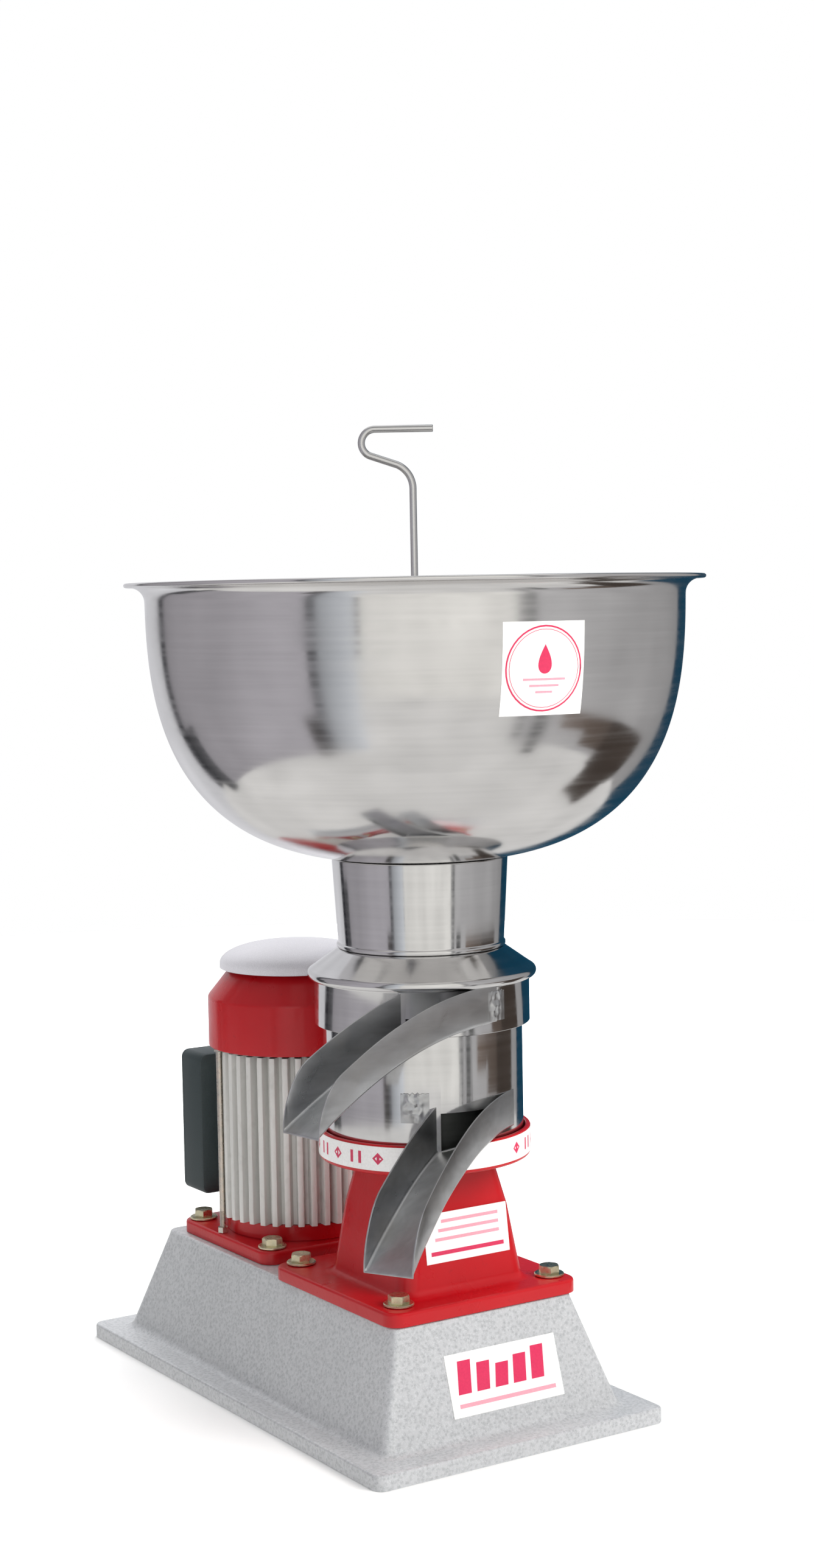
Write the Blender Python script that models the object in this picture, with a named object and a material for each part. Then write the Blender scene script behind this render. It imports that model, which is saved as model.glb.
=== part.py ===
"""Cream separator with a belt-driven bowl, a vertical motor and a supply bowl on top.

Metres, +Z up. The origin is on the floor, at the centre of the whole machine's outline. The long side of the
base lies along Y: the bowl column stands at the -Y end and the motor at the +Y end. Heights are absolute, and
radii are taken from the column's axis or from the motor's axis.
"""

import math

import bmesh
import bpy
from mathutils import Vector

# ---- driving dimensions -------------------------------------------------------------------------------------
GAP = 0.0003                    # left between pieces that touch
SHEET = 0.0010                  # stainless sheet of the covers
FINE, COARSE = 36, 16           # sides of the large and of the small round pieces

RIM_R = 0.200                   # supply bowl, over its rim
RIM_Z = 0.586
BOWL_R, BOWL_DEPTH, BOWL_POWER = 0.186, 0.1945, 2.8
BOWL_SHEET = 0.0012
BOWL_STEPS = 9

FOOT_X, FOOT_Y, FOOT_Z = 0.236, 0.422, 0.0105
BOX_FOOT_X, BOX_FOOT_Y = 0.196, 0.377
BOX_TOP_X, BOX_TOP_Y, BOX_TOP_Z = 0.146, 0.329, 0.088
CAST_WALL = 0.005

AXIS_AHEAD = 0.0915             # column axis, ahead of the foot's centre
MOTOR_BEHIND = 0.0845           # motor axis, behind the foot's centre
MOTOR_PLATE_BEHIND = 0.003      # motor plate's centre, behind the motor axis
DEPTH = RIM_R + AXIS_AHEAD + FOOT_Y / 2
AXIS_Y = RIM_R - DEPTH / 2
FOOT_CENTRE_Y = AXIS_Y + AXIS_AHEAD
MOTOR_Y = FOOT_CENTRE_Y + MOTOR_BEHIND
PLATE_T = 0.0095                # both bolted plates
PLATE_Z = BOX_TOP_Z + GAP
PLATE_TOP = PLATE_Z + PLATE_T

BODY_PLATE_X, BODY_PLATE_Y = 0.156, 0.1605
BODY_PLATE_ASIDE, BODY_PLATE_BEHIND = 0.0015, 0.0065    # plate centre, from the column axis
BODY_BOLT_X, BODY_BOLT_Y = 0.0625, 0.065
BODY_BOLT_ASIDE, BODY_BOLT_BEHIND = 0.0035, 0.0097      # centre of the four bolts, from the column axis
MOTOR_PLATE_X, MOTOR_PLATE_Y = 0.134, 0.134
MOTOR_BOLT_X, MOTOR_BOLT_Y = 0.054, 0.0535
BOLT_R, BOLT_HOLE_R, BOLT_LONG = 0.004, 0.0044, 0.020
HEX_R, HEX_H = 0.0075, 0.0055   # across the corners, and height
WASHER_R, WASHER_T = 0.0105, 0.0018

PAN_R, PAN_WALL = 0.0742, 0.0036
PAN_BOTTOM, PAN_FLOOR, PAN_LIP = 0.1845, 0.1900, 0.2050
COLUMN_FOOT, COLUMN_TOP = 0.0512, 0.0395    # half widths of the square column

MILK_R, MILK_BOTTOM, MILK_TOP = 0.0696, 0.1915, 0.2838
MILK_GUTTER, MILK_FLOOR = 0.1985, 0.2090    # floor inside the cover, and the spout's floor where it starts
CREAM_R, CREAM_BOTTOM = 0.0750, 0.2785
CREAM_FLOOR = 0.2852
BEAD_R, BEAD_Z, BEAD_WIRE = 0.0800, 0.3135, 0.0038
CONE_TOP_R, CONE_TOP_Z = 0.0570, 0.3310

SPOUT_WIDE, SPOUT_FLARE = 0.0305, 0.006
CREAM_AIM, CREAM_REACH, CREAM_DROP = 189.0, 0.158, 2.20
MILK_AIM, MILK_REACH, MILK_DROP = 209.0, 0.150, 3.02
SPOUT_NEAR_WALL, SPOUT_FAR_WALL = 0.0245, 0.0300
SPOUT_NOSE = 0.020

CHAMBER_FOOT_R, CHAMBER_TOP_R = 0.0578, 0.0613
CHAMBER_Z, CHAMBER_TOP = 0.3330, 0.3942
SEAT_R, SEAT_INNER_R, SEAT_Z = 0.0533, 0.0500, 0.3933      # where the supply bowl rests on the neck

ROD_R = 0.0025
ROD_BEND_Z, ROD_TOP_Z = 0.648, 0.689
ROD_TURN, ROD_LOOP = 0.018, 0.0095
LOOP_AT, BAR_END = -0.0255, 0.0145
HANDLE_AIM = -33.0

BELT_Z, BELT_R = 0.052, 0.003
MOTOR_PULLEY_R, SPINDLE_PULLEY_R = 0.042, 0.014
SPINDLE_R, MOTOR_SHAFT_R = 0.006, 0.0055
BEARING_R, BEARING_H = 0.016, 0.010
HOUSING_R, HOUSING_BORE = 0.0205, BEARING_R + GAP
SPINDLE_TIP, SPINDLE_SHOULDER = 0.222, 0.206

DRUM_R, DRUM_FLOOR = 0.0555, 0.2065
FIN_COUNT, FIN_ROOT, FIN_TIP = 39, 0.0540, 0.0620
BARREL_Z, BARREL_TOP = 0.1100, 0.2360
COWL_R, COWL_WALL, COWL_Z, COWL_SHOULDER, COWL_TOP = 0.0670, 0.0015, 0.2382, 0.2755, 0.2965
DRIP_R, DRIP_Z, DRIP_TOP = 0.0575, 0.2980, 0.3160
TIE_ROD_AT, TIE_ROD_R, TIE_NUT_R = 0.0632, 0.0022, 0.0040
TIE_ROD_TURN = 171.0            # the first rod's direction, in a groove between two fins


# ---- tools --------------------------------------------------------------------------------------------------
def material(name, colour, roughness, metallic=0.0):
    """A Principled material, made once and shared."""
    found = bpy.data.materials.get(name)
    if found:
        return found
    made = bpy.data.materials.new(name)
    made.use_nodes = True
    shader = made.node_tree.nodes["Principled BSDF"]
    shader.inputs["Base Color"].default_value = (*colour, 1.0)
    shader.inputs["Roughness"].default_value = roughness
    shader.inputs["Metallic"].default_value = metallic
    return made


def stainless():
    return material("stainless", (0.62, 0.61, 0.60), 0.25, 1.0)


def red_paint():
    return material("red_paint", (0.55, 0.02, 0.03), 0.25)


def silver_paint():
    return material("silver_paint", (0.55, 0.56, 0.57), 0.45, 0.4)


def zinc():
    return material("zinc", (0.62, 0.56, 0.40), 0.35, 1.0)


def steel():
    return material("steel", (0.45, 0.45, 0.46), 0.35, 1.0)


def black_plastic():
    return material("black_plastic", (0.03, 0.04, 0.04), 0.5)


def axis_empty(name, y):
    """An empty on a vertical axis, to which the pieces that share the axis are parented."""
    empty = bpy.data.objects.new(name, None)
    empty.location = (0.0, y, 0.0)
    bpy.context.scene.collection.objects.link(empty)
    return empty


def add_object(name, mesh_maker, finish, parent=None):
    """Turns a filled bmesh into a named object with outward normals and smooth shading."""
    bmesh.ops.remove_doubles(mesh_maker, verts=mesh_maker.verts, dist=1e-6)
    bmesh.ops.dissolve_degenerate(mesh_maker, edges=mesh_maker.edges, dist=1e-7)
    bmesh.ops.recalc_face_normals(mesh_maker, faces=mesh_maker.faces)
    mesh = bpy.data.meshes.new(name)
    mesh_maker.to_mesh(mesh)
    mesh_maker.free()
    mesh.shade_smooth()
    mesh.set_sharp_from_angle(angle=math.radians(35))
    mesh.materials.append(finish)
    return place(name, mesh, parent)


def place(name, mesh, parent=None, at=(0.0, 0.0, 0.0)):
    made = bpy.data.objects.new(name, mesh)
    made.location = at
    made.parent = parent
    bpy.context.scene.collection.objects.link(made)
    return made


def helper(made):
    """Marks an object as a cutter or a part of a union, which is not a piece by itself."""
    made.hide_render = True
    made.display_type = "WIRE"
    return made


def boolean(target, other, operation="DIFFERENCE"):
    helper(other)
    modifier = target.modifiers.new(other.name, "BOOLEAN")
    modifier.operation = operation
    modifier.object = other


def turned(name, profile, finish, parent=None, sides=FINE):
    """A solid of revolution from a closed outline of (radius, height) points."""
    maker = bmesh.new()
    verts = [maker.verts.new((r, 0.0, z)) for r, z in profile]
    edges = [maker.edges.new((a, b)) for a, b in zip(verts, verts[1:] + verts[:1])]
    bmesh.ops.spin(maker, geom=verts + edges, axis=(0, 0, 1), cent=(0, 0, 0),
                   angle=math.tau, steps=sides, use_merge=True)
    return add_object(name, maker, finish, parent)


def skin(name, loops, finish, parent=None, ring=False):
    """A surface over a row of equal loops of points, capped at both ends, or closed on itself as a ring."""
    maker = bmesh.new()
    rows = [[maker.verts.new(point) for point in loop] for loop in loops]
    pairs = list(zip(rows, rows[1:]))
    if ring:
        pairs.append((rows[-1], rows[0]))
    for low, high in pairs:
        for i in range(len(low)):
            j = (i + 1) % len(low)
            maker.faces.new((low[i], low[j], high[j], high[i]))
    if not ring:
        maker.faces.new(rows[0][::-1])
        maker.faces.new(rows[-1])
    return add_object(name, maker, finish, parent)


def arc(cr, cz, radius, start, end, steps):
    """Points on an arc about (cr, cz), between two angles in degrees, ends included."""
    angles = [math.radians(start + (end - start) * i / steps) for i in range(steps + 1)]
    return [(cr + radius * math.cos(a), cz + radius * math.sin(a)) for a in angles]


def circle(radius, z, sides, at=(0.0, 0.0)):
    return [(at[0] + x, at[1] + y, z) for x, y in arc(0, 0, radius, 0, 360 - 360 / sides, sides - 1)]


def rounded_rectangle(half_x, half_y, z, corner, at=(0.0, 0.0), steps=4):
    points = []
    for sx, sy, start in ((1, 1, 0), (-1, 1, 90), (-1, -1, 180), (1, -1, 270)):
        cx, cy = at[0] + sx * (half_x - corner), at[1] + sy * (half_y - corner)
        points += [(x, y, z) for x, y in arc(cx, cy, corner, start, start + 90, steps)]
    return points


def tube(name, r_in, r_out, z_low, z_high, finish, parent, sides=COARSE):
    outline = [(r_in, z_low), (r_out, z_low), (r_out, z_high), (r_in, z_high)]
    return turned(name, outline, finish, parent, sides)


def sheet(points, thickness):
    """The closed outline of a sheet of even thickness, whose one face is the open line of (r, z) points."""
    line = [Vector(p) for p in points]
    other = []
    for i, point in enumerate(line):
        before = (point - line[i - 1]).normalized() if i else None
        after = (line[i + 1] - point).normalized() if i + 1 < len(line) else None
        before, after = before or after, after or before
        along = (before + after).normalized()
        square = Vector((-along.y, along.x))
        other.append(point + square * thickness / max(0.5, along.dot(after)))
    return [tuple(p) for p in line + other[::-1]]


# ---- base and castings --------------------------------------------------------------------------------------
def bolt_places():
    """Name, x and y of each bolt that holds a plate on the base."""
    rows = (("body_bolt", BODY_BOLT_X, BODY_BOLT_Y, BODY_BOLT_ASIDE, AXIS_Y + BODY_BOLT_BEHIND),
            ("motor_plate_bolt", MOTOR_BOLT_X, MOTOR_BOLT_Y, 0.0, MOTOR_Y + MOTOR_PLATE_BEHIND))
    for name, half_x, half_y, aside, centre in rows:
        corners = ((-1, -1), (1, -1), (-1, 1), (1, 1))
        for number, (sx, sy) in enumerate(corners, 1):
            yield f"{name}_{number}", aside + sx * half_x, centre + sy * half_y


def bolt_holes():
    """One cutter per bolt, through the plate and the top of the base."""
    for name, x, y in bolt_places():
        low, high = BOX_TOP_Z - 2 * CAST_WALL, PLATE_TOP + 0.002
        loops = [circle(BOLT_HOLE_R, z, 12, (x, y)) for z in (low, high)]
        yield name, skin(f"hole_for_{name}", loops, steel())


def make_base(holes):
    top_x, top_y = BOX_TOP_X / 2, BOX_TOP_Y / 2
    at = (0.0, FOOT_CENTRE_Y)
    loops = [
        rounded_rectangle(FOOT_X / 2, FOOT_Y / 2, 0.0, 0.008, at),
        rounded_rectangle(FOOT_X / 2, FOOT_Y / 2, FOOT_Z - 0.0015, 0.008, at),
        rounded_rectangle(FOOT_X / 2 - 0.0015, FOOT_Y / 2 - 0.0015, FOOT_Z, 0.0065, at),
        rounded_rectangle(BOX_FOOT_X / 2 + 0.004, BOX_FOOT_Y / 2 + 0.004, FOOT_Z, 0.012, at),
        rounded_rectangle(BOX_FOOT_X / 2, BOX_FOOT_Y / 2, FOOT_Z + 0.003, 0.009, at),
        rounded_rectangle(top_x + 0.0005, top_y + 0.0005, BOX_TOP_Z - 0.0015, 0.007, at),
        rounded_rectangle(top_x - 0.001, top_y - 0.001, BOX_TOP_Z, 0.006, at),
    ]
    base = skin("base_casting", loops, silver_paint())
    inside = [
        rounded_rectangle(BOX_FOOT_X / 2 - CAST_WALL, BOX_FOOT_Y / 2 - CAST_WALL, -0.002, 0.006, at),
        rounded_rectangle(BOX_FOOT_X / 2 - CAST_WALL, BOX_FOOT_Y / 2 - CAST_WALL, FOOT_Z, 0.006, at),
        rounded_rectangle(top_x - CAST_WALL, top_y - CAST_WALL, BOX_TOP_Z - CAST_WALL, 0.004, at),
    ]
    boolean(base, skin("base_hollow", inside, steel()))
    for label, y, radius in (("spindle_way", AXIS_Y, 0.030), ("shaft_way", MOTOR_Y, 0.024)):
        loops = [circle(radius, z, COARSE, (0.0, y)) for z in (BOX_TOP_Z - 0.012, BOX_TOP_Z + 0.004)]
        boolean(base, skin(label, loops, steel()))
    for _, hole in holes:
        boolean(base, hole)


def along_spout(aim, floor_z, drop, runs, sections):
    """Loops of points across a trough: each section holds (sideways, up) pairs measured from its falling floor."""
    along = Vector((math.cos(math.radians(aim)), math.sin(math.radians(aim))))
    aside = Vector((-along.y, along.x))
    return [[(*(along * run + aside * side), floor_z - drop * run ** 2 + up) for side, up in section]
            for run, section in zip(runs, sections)]


def spout_notch():
    """The cut in the pan's lip in which the milk spout lies."""
    near, far = MILK_R + 0.002, MILK_R - SPOUT_WIDE - 0.003
    under, over = -SHEET - 0.0012, 0.030
    section = ((far, under), (near, under), (near, over), (far, over))
    runs = [0.010 * i for i in range(9)]
    notch = skin("spout_notch", along_spout(MILK_AIM, MILK_FLOOR, MILK_DROP, runs, [section] * 9), steel())
    notch.location.y = AXIS_Y
    return notch


def plate(name, half_x, half_y, at, finish):
    """A plate with rounded corners and a small chamfer round its top."""
    corner, chamfer = 0.012, 0.0015
    loops = [
        rounded_rectangle(half_x, half_y, PLATE_Z, corner, at),
        rounded_rectangle(half_x, half_y, PLATE_TOP - chamfer, corner, at),
        rounded_rectangle(half_x - chamfer, half_y - chamfer, PLATE_TOP, corner - chamfer, at),
    ]
    return skin(name, loops, finish)


def make_body(holes):
    """The bolted plate, the square hollow column and the pan on top, as one casting."""
    middle = (BODY_PLATE_ASIDE, AXIS_Y + BODY_PLATE_BEHIND)
    body = plate("body_casting", BODY_PLATE_X / 2, BODY_PLATE_Y / 2, middle, red_paint())
    at = (0.0, AXIS_Y)
    rise = PAN_BOTTOM - PLATE_TOP
    loops = [rounded_rectangle(COLUMN_FOOT + 0.003, COLUMN_FOOT + 0.003, PLATE_TOP - 0.003, 0.016, at)]
    for up, wider in ((0.0, 0.0025), (0.004, 0.0008), (0.010, 0.0)):
        half = COLUMN_FOOT + (COLUMN_TOP - COLUMN_FOOT) * up / rise + wider
        loops.append(rounded_rectangle(half, half, PLATE_TOP + up, 0.012, at))
    loops.append(rounded_rectangle(COLUMN_TOP, COLUMN_TOP, PAN_BOTTOM + 0.001, 0.010, at))
    boolean(body, skin("column_solid", loops, red_paint()), "UNION")
    pan = turned("pan_solid", [
        (0.0, PAN_BOTTOM), (PAN_R - 0.002, PAN_BOTTOM), (PAN_R, PAN_BOTTOM + 0.002), (PAN_R, PAN_LIP - 0.001),
        (PAN_R - 0.001, PAN_LIP), (PAN_R - PAN_WALL, PAN_LIP), (PAN_R - PAN_WALL, PAN_FLOOR), (0.0, PAN_FLOOR),
    ], red_paint())
    pan.location.y = AXIS_Y
    boolean(body, pan, "UNION")
    inner_foot, inner_top = COLUMN_FOOT - 0.007, COLUMN_TOP - 0.007
    hollow = [
        rounded_rectangle(inner_foot, inner_foot, PLATE_Z - 0.002, 0.008, at),
        rounded_rectangle(inner_top, inner_top, PAN_BOTTOM - 0.010, 0.006, at),
    ]
    boolean(body, skin("column_hollow", hollow, steel()))
    boolean(body, spout_notch())
    bore = [circle(HOUSING_R + GAP, z, COARSE, at) for z in (PAN_BOTTOM - 0.015, PAN_FLOOR + 0.003)]
    boolean(body, skin("housing_bore", bore, steel()))
    for name, hole in holes:
        if name.startswith("body"):
            boolean(body, hole)


def make_motor_plate(holes):
    centre = (0.0, MOTOR_Y + MOTOR_PLATE_BEHIND)
    made = plate("motor_plate", MOTOR_PLATE_X / 2, MOTOR_PLATE_Y / 2, centre, red_paint())
    way = [circle(0.022, z, COARSE, (0.0, MOTOR_Y)) for z in (PLATE_Z - 0.003, PLATE_TOP + 0.003)]
    boolean(made, skin("motor_plate_way", way, steel()))
    for name, hole in holes:
        if name.startswith("motor"):
            boolean(made, hole)


def hexagon(radius, z):
    """A hexagon with one extra point in the middle of each side, to match a circle of twelve."""
    corners = [Vector((x, y, z)) for x, y in arc(0, 0, radius, 0, 300, 5)]
    points = []
    for corner, following in zip(corners, corners[1:] + corners[:1]):
        points += [corner, (corner + following) / 2]
    return points


def make_bolts():
    """Hex bolts, each with its washer pressed on under the head, standing on the plates."""
    seat = PLATE_TOP + GAP
    head = seat + WASHER_T
    loops = [circle(r, z, 12) for r, z in (
        (BOLT_R, seat - BOLT_LONG), (BOLT_R, seat), (WASHER_R, seat), (WASHER_R, head))]
    loops += [hexagon(HEX_R, head), hexagon(HEX_R, head + HEX_H - 0.001), hexagon(HEX_R * 0.86, head + HEX_H)]
    first = None
    for name, x, y in bolt_places():
        if first is None:
            first = skin(name, loops, zinc())
            first.location = (x, y, 0.0)
        else:
            place(name, first.data, at=(x, y, 0.0))


# ---- spindle, drum and belt ---------------------------------------------------------------------------------
def bearing(name, shaft_r, z_low, parent):
    """A shielded ball bearing as one ring."""
    tube(name, shaft_r + GAP, BEARING_R, z_low, z_low + BEARING_H, steel(), parent)


def pulley(name, radius, bore, finish, parent, sides):
    """A grooved pulley whose belt runs at the radius given."""
    rim, half, cut = radius + 0.0022, 0.007, BELT_R + 3 * GAP
    groove = [(radius + cut * math.cos(a), BELT_Z + cut * math.sin(a))
              for a in (math.radians(d) for d in (-60, -115, 180, 115, 60))]
    hub = min(rim, bore + 0.008)
    profile = [(bore, BELT_Z - half), (rim, BELT_Z - half)] + groove
    profile += [(rim, BELT_Z + half), (hub, BELT_Z + half), (hub, BELT_Z + half + 0.006),
                (bore, BELT_Z + half + 0.006)]
    if hub == rim:
        profile.remove((hub, BELT_Z + half))
    turned(name, profile, finish, parent, sides)


def make_belt():
    """A round endless belt on the open path round both pulleys."""
    apart = MOTOR_Y - AXIS_Y
    lean = math.degrees(math.asin((MOTOR_PULLEY_R - SPINDLE_PULLEY_R) / apart))
    path = arc(0.0, MOTOR_Y, MOTOR_PULLEY_R, -lean, 180 + lean, 18)
    path += arc(0.0, AXIS_Y, SPINDLE_PULLEY_R, 180 + lean, 360 - lean, 8)
    centre = Vector((0.0, (MOTOR_Y + AXIS_Y) / 2, 0.0))
    loops = []
    for i, (x, y) in enumerate(path):
        before, after = Vector(path[i - 1]), Vector(path[(i + 1) % len(path)])
        along = (after - before).normalized()
        out = Vector((along.y, -along.x, 0.0))
        if out.dot(Vector((x, y, 0.0)) - centre) < 0:
            out = -out
        at = Vector((x, y, BELT_Z))
        loops.append([at + out * r + Vector((0, 0, z)) for r, z in arc(0, 0, BELT_R, 0, 315, 7)])
    skin("drive_belt", loops, material("belt", (0.02, 0.02, 0.02), 0.8), ring=True)


def make_spindle(axis):
    turned("spindle_housing", [
        (HOUSING_BORE, 0.104), (HOUSING_R, 0.104), (HOUSING_R, PAN_FLOOR + GAP), (0.030, PAN_FLOOR + GAP),
        (0.030, 0.1935), (0.0175, 0.1960), (0.0160, 0.2010), (0.0125, 0.2010), (0.0125, 0.1900),
        (HOUSING_BORE, 0.1870),
    ], material("cast_iron", (0.20, 0.20, 0.21), 0.6, 0.6), axis, COARSE)
    bearing("spindle_bearing_lower", SPINDLE_R, 0.106, axis)
    bearing("spindle_bearing_upper", SPINDLE_R, 0.1755, axis)
    turned("spindle", [
        (0.0, 0.040), (SPINDLE_R - 0.001, 0.040), (SPINDLE_R, 0.041), (SPINDLE_R, 0.2030), (0.0090, 0.2035),
        (0.0090, SPINDLE_SHOULDER), (0.0075, SPINDLE_SHOULDER), (0.0055, SPINDLE_TIP - 0.001),
        (0.0045, SPINDLE_TIP), (0.0, SPINDLE_TIP),
    ], steel(), axis, COARSE)
    pulley("spindle_pulley", SPINDLE_PULLEY_R, SPINDLE_R + GAP, steel(), axis, COARSE)


def make_drum(axis):
    """The separating bowl: base, distributor, conical discs, top disc, seal, hood and nut."""
    tinned = material("tinned_steel", (0.60, 0.60, 0.58), 0.3, 1.0)
    turned("drum_base", [
        (0.0080, DRUM_FLOOR), (0.0400, DRUM_FLOOR), (DRUM_R - 0.003, 0.2080), (DRUM_R - 0.0005, 0.2110),
        (DRUM_R - 0.0005, 0.2145), (0.0500, 0.2145), (0.0500, 0.2115), (0.0145, 0.2115), (0.0115, 0.2260),
        (0.0, 0.2260), (0.0, SPINDLE_TIP + GAP), (0.0060, SPINDLE_TIP + GAP), (0.0080, SPINDLE_SHOULDER),
    ], tinned, axis, COARSE)
    tube("drum_gasket", 0.0503, 0.0535, 0.2148, 0.2168, material("rubber", (0.03, 0.03, 0.03), 0.7), axis)
    turned("distributor", [
        (0.0120, 0.2265), (0.0155, 0.2120), (0.0430, 0.2120), (0.0150, 0.2350), (0.0110, 0.2400),
        (0.0110, 0.3060), (0.0095, 0.3060), (0.0095, 0.2265),
    ], tinned, axis, COARSE)
    for number in range(4):
        foot = 0.2150 + 0.0034 * number
        cone = sheet([(0.0440, foot), (0.0150 + 0.0008 * number, foot + 0.0240)], -0.0007)
        turned(f"cone_disc_{number + 1}", cone, tinned, axis, COARSE)
    turned("top_disc", sheet([(0.0455, 0.2296), (0.0180, 0.2526), (0.0145, 0.2560), (0.0145, 0.2860)], -0.0008),
           tinned, axis, COARSE)
    turned("drum_hood", [
        (0.0538, 0.2150), (DRUM_R, 0.2150), (DRUM_R, 0.2370), (0.0520, 0.2420), (0.0230, 0.2640),
        (0.0195, 0.2680), (0.0195, 0.2890), (0.0170, 0.2890), (0.0170, 0.2665), (0.0200, 0.2630),
        (0.0490, 0.2410), (0.0515, 0.2370), (0.0515, 0.2172), (0.0538, 0.2172),
    ], tinned, axis, COARSE)
    grip = [(0.0130, 0.2893), (0.0225, 0.2893), (0.0225, 0.2985), (0.0205, 0.3000), (0.0130, 0.3000)]
    turned("drum_nut", grip, material("brass", (0.70, 0.52, 0.25), 0.3, 1.0), axis, 12)


# ---- covers with their spouts -------------------------------------------------------------------------------
def spout(name, aim, drum_r, floor_z, drop, reach, parent):
    """An open trough of bent sheet that leaves the round wall on a tangent and falls away in a parabola."""
    near = drum_r + 0.0005
    runs = sorted([reach * i / 14 for i in range(15)] + [reach - SPOUT_NOSE * k for k in (0.02, 0.12, 0.35, 0.65)])
    sections = []
    for run in runs:
        left = reach - run
        far = near - SPOUT_WIDE - SPOUT_FLARE * (run / reach) ** 2
        nose = math.sqrt(max(0.0, 1 - (1 - left / SPOUT_NOSE) ** 2)) if left < SPOUT_NOSE else 1.0
        rise = [SHEET * 1.4 + nose * wall for wall in (SPOUT_FAR_WALL, SPOUT_NEAR_WALL)]
        sections.append(((far, -SHEET), (near, -SHEET), (near, rise[1]), (near - SHEET, rise[1]),
                         (near - SHEET, 0.0), (far + SHEET, 0.0), (far + SHEET, rise[0]), (far, rise[0])))
    trough = skin(name, along_spout(aim, floor_z, drop, runs, sections), stainless(), parent)
    inside = turned(name + "_trim", [(0.0, 0.10), (drum_r - 0.0006, 0.10), (drum_r - 0.0006, 0.40), (0.0, 0.40)],
                    stainless(), parent)
    boolean(trough, inside)
    return trough


def wall_opening(name, aim, drum_r, floor_z, drop, high, parent):
    """The sector cut out of a cover's wall behind its spout, from the trough's floor up."""
    spread = [math.degrees(math.asin(side / drum_r)) for side in
              (drum_r - SPOUT_WIDE + 0.003, drum_r - 0.006)]
    loops = []
    for i in range(7):
        off = spread[0] + (spread[1] - spread[0]) * i / 6
        turn = math.radians(aim + off)
        low = floor_z + 0.0006 - drop * (drum_r * math.cos(math.radians(off))) ** 2
        corners = ((drum_r - 0.002, low), (drum_r + 0.0015, low), (drum_r + 0.0015, high), (drum_r - 0.002, high))
        loops.append([(r * math.cos(turn), r * math.sin(turn), z) for r, z in corners])
    return skin(name, loops, steel(), parent)


def make_milk_cover(axis):
    """The lower cover: outer wall, gutter floor, and a shroud over the drum with a hole for its neck."""
    wall, shroud = MILK_R - SHEET, 0.0600
    cover = turned("milk_cover", [
        (wall, MILK_BOTTOM), (MILK_R, MILK_BOTTOM), (MILK_R, MILK_TOP), (wall, MILK_TOP), (wall, MILK_GUTTER),
        (shroud + SHEET, MILK_GUTTER), (shroud + SHEET, 0.2590), (0.0250, 0.2745), (0.0250, 0.2790),
        (0.0240, 0.2790), (0.0240, 0.2738), (shroud, 0.2583), (shroud, MILK_GUTTER - SHEET),
        (wall, MILK_GUTTER - SHEET),
    ], stainless(), axis)
    trough = spout("milk_trough", MILK_AIM, MILK_R, MILK_FLOOR, MILK_DROP, MILK_REACH, axis)
    boolean(cover, trough, "UNION")
    boolean(cover, wall_opening("milk_way", MILK_AIM, MILK_R, MILK_FLOOR, MILK_DROP, MILK_FLOOR + 0.017, axis))


def make_cream_cover(axis):
    """The upper cover: skirt, gutter floor, rolled bead and the cone that carries the float chamber."""
    wall = CREAM_R - SHEET
    bead_centre = BEAD_R - BEAD_WIRE
    bead = arc(bead_centre, BEAD_Z, BEAD_WIRE, -100, 80, 6)
    cover = turned("cream_cover", [
        (wall, CREAM_BOTTOM), (CREAM_R, CREAM_BOTTOM), (CREAM_R, BEAD_Z - 0.0042), *bead,
        (CONE_TOP_R + 0.001, CONE_TOP_Z), (0.0460, CONE_TOP_Z), (0.0460, CONE_TOP_Z - SHEET),
        (CONE_TOP_R, CONE_TOP_Z - SHEET), (wall, BEAD_Z + 0.0015), (wall, CREAM_FLOOR), (0.0262, CREAM_FLOOR),
        (0.0262, 0.2930), (0.0252, 0.2930), (0.0252, CREAM_FLOOR - SHEET), (wall, CREAM_FLOOR - SHEET),
    ], stainless(), axis)
    trough = spout("cream_trough", CREAM_AIM, CREAM_R, CREAM_FLOOR, CREAM_DROP, CREAM_REACH, axis)
    boolean(cover, trough, "UNION")
    boolean(cover, wall_opening("cream_way", CREAM_AIM, CREAM_R, CREAM_FLOOR, 0.0, CREAM_FLOOR + 0.0065, axis))


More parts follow.
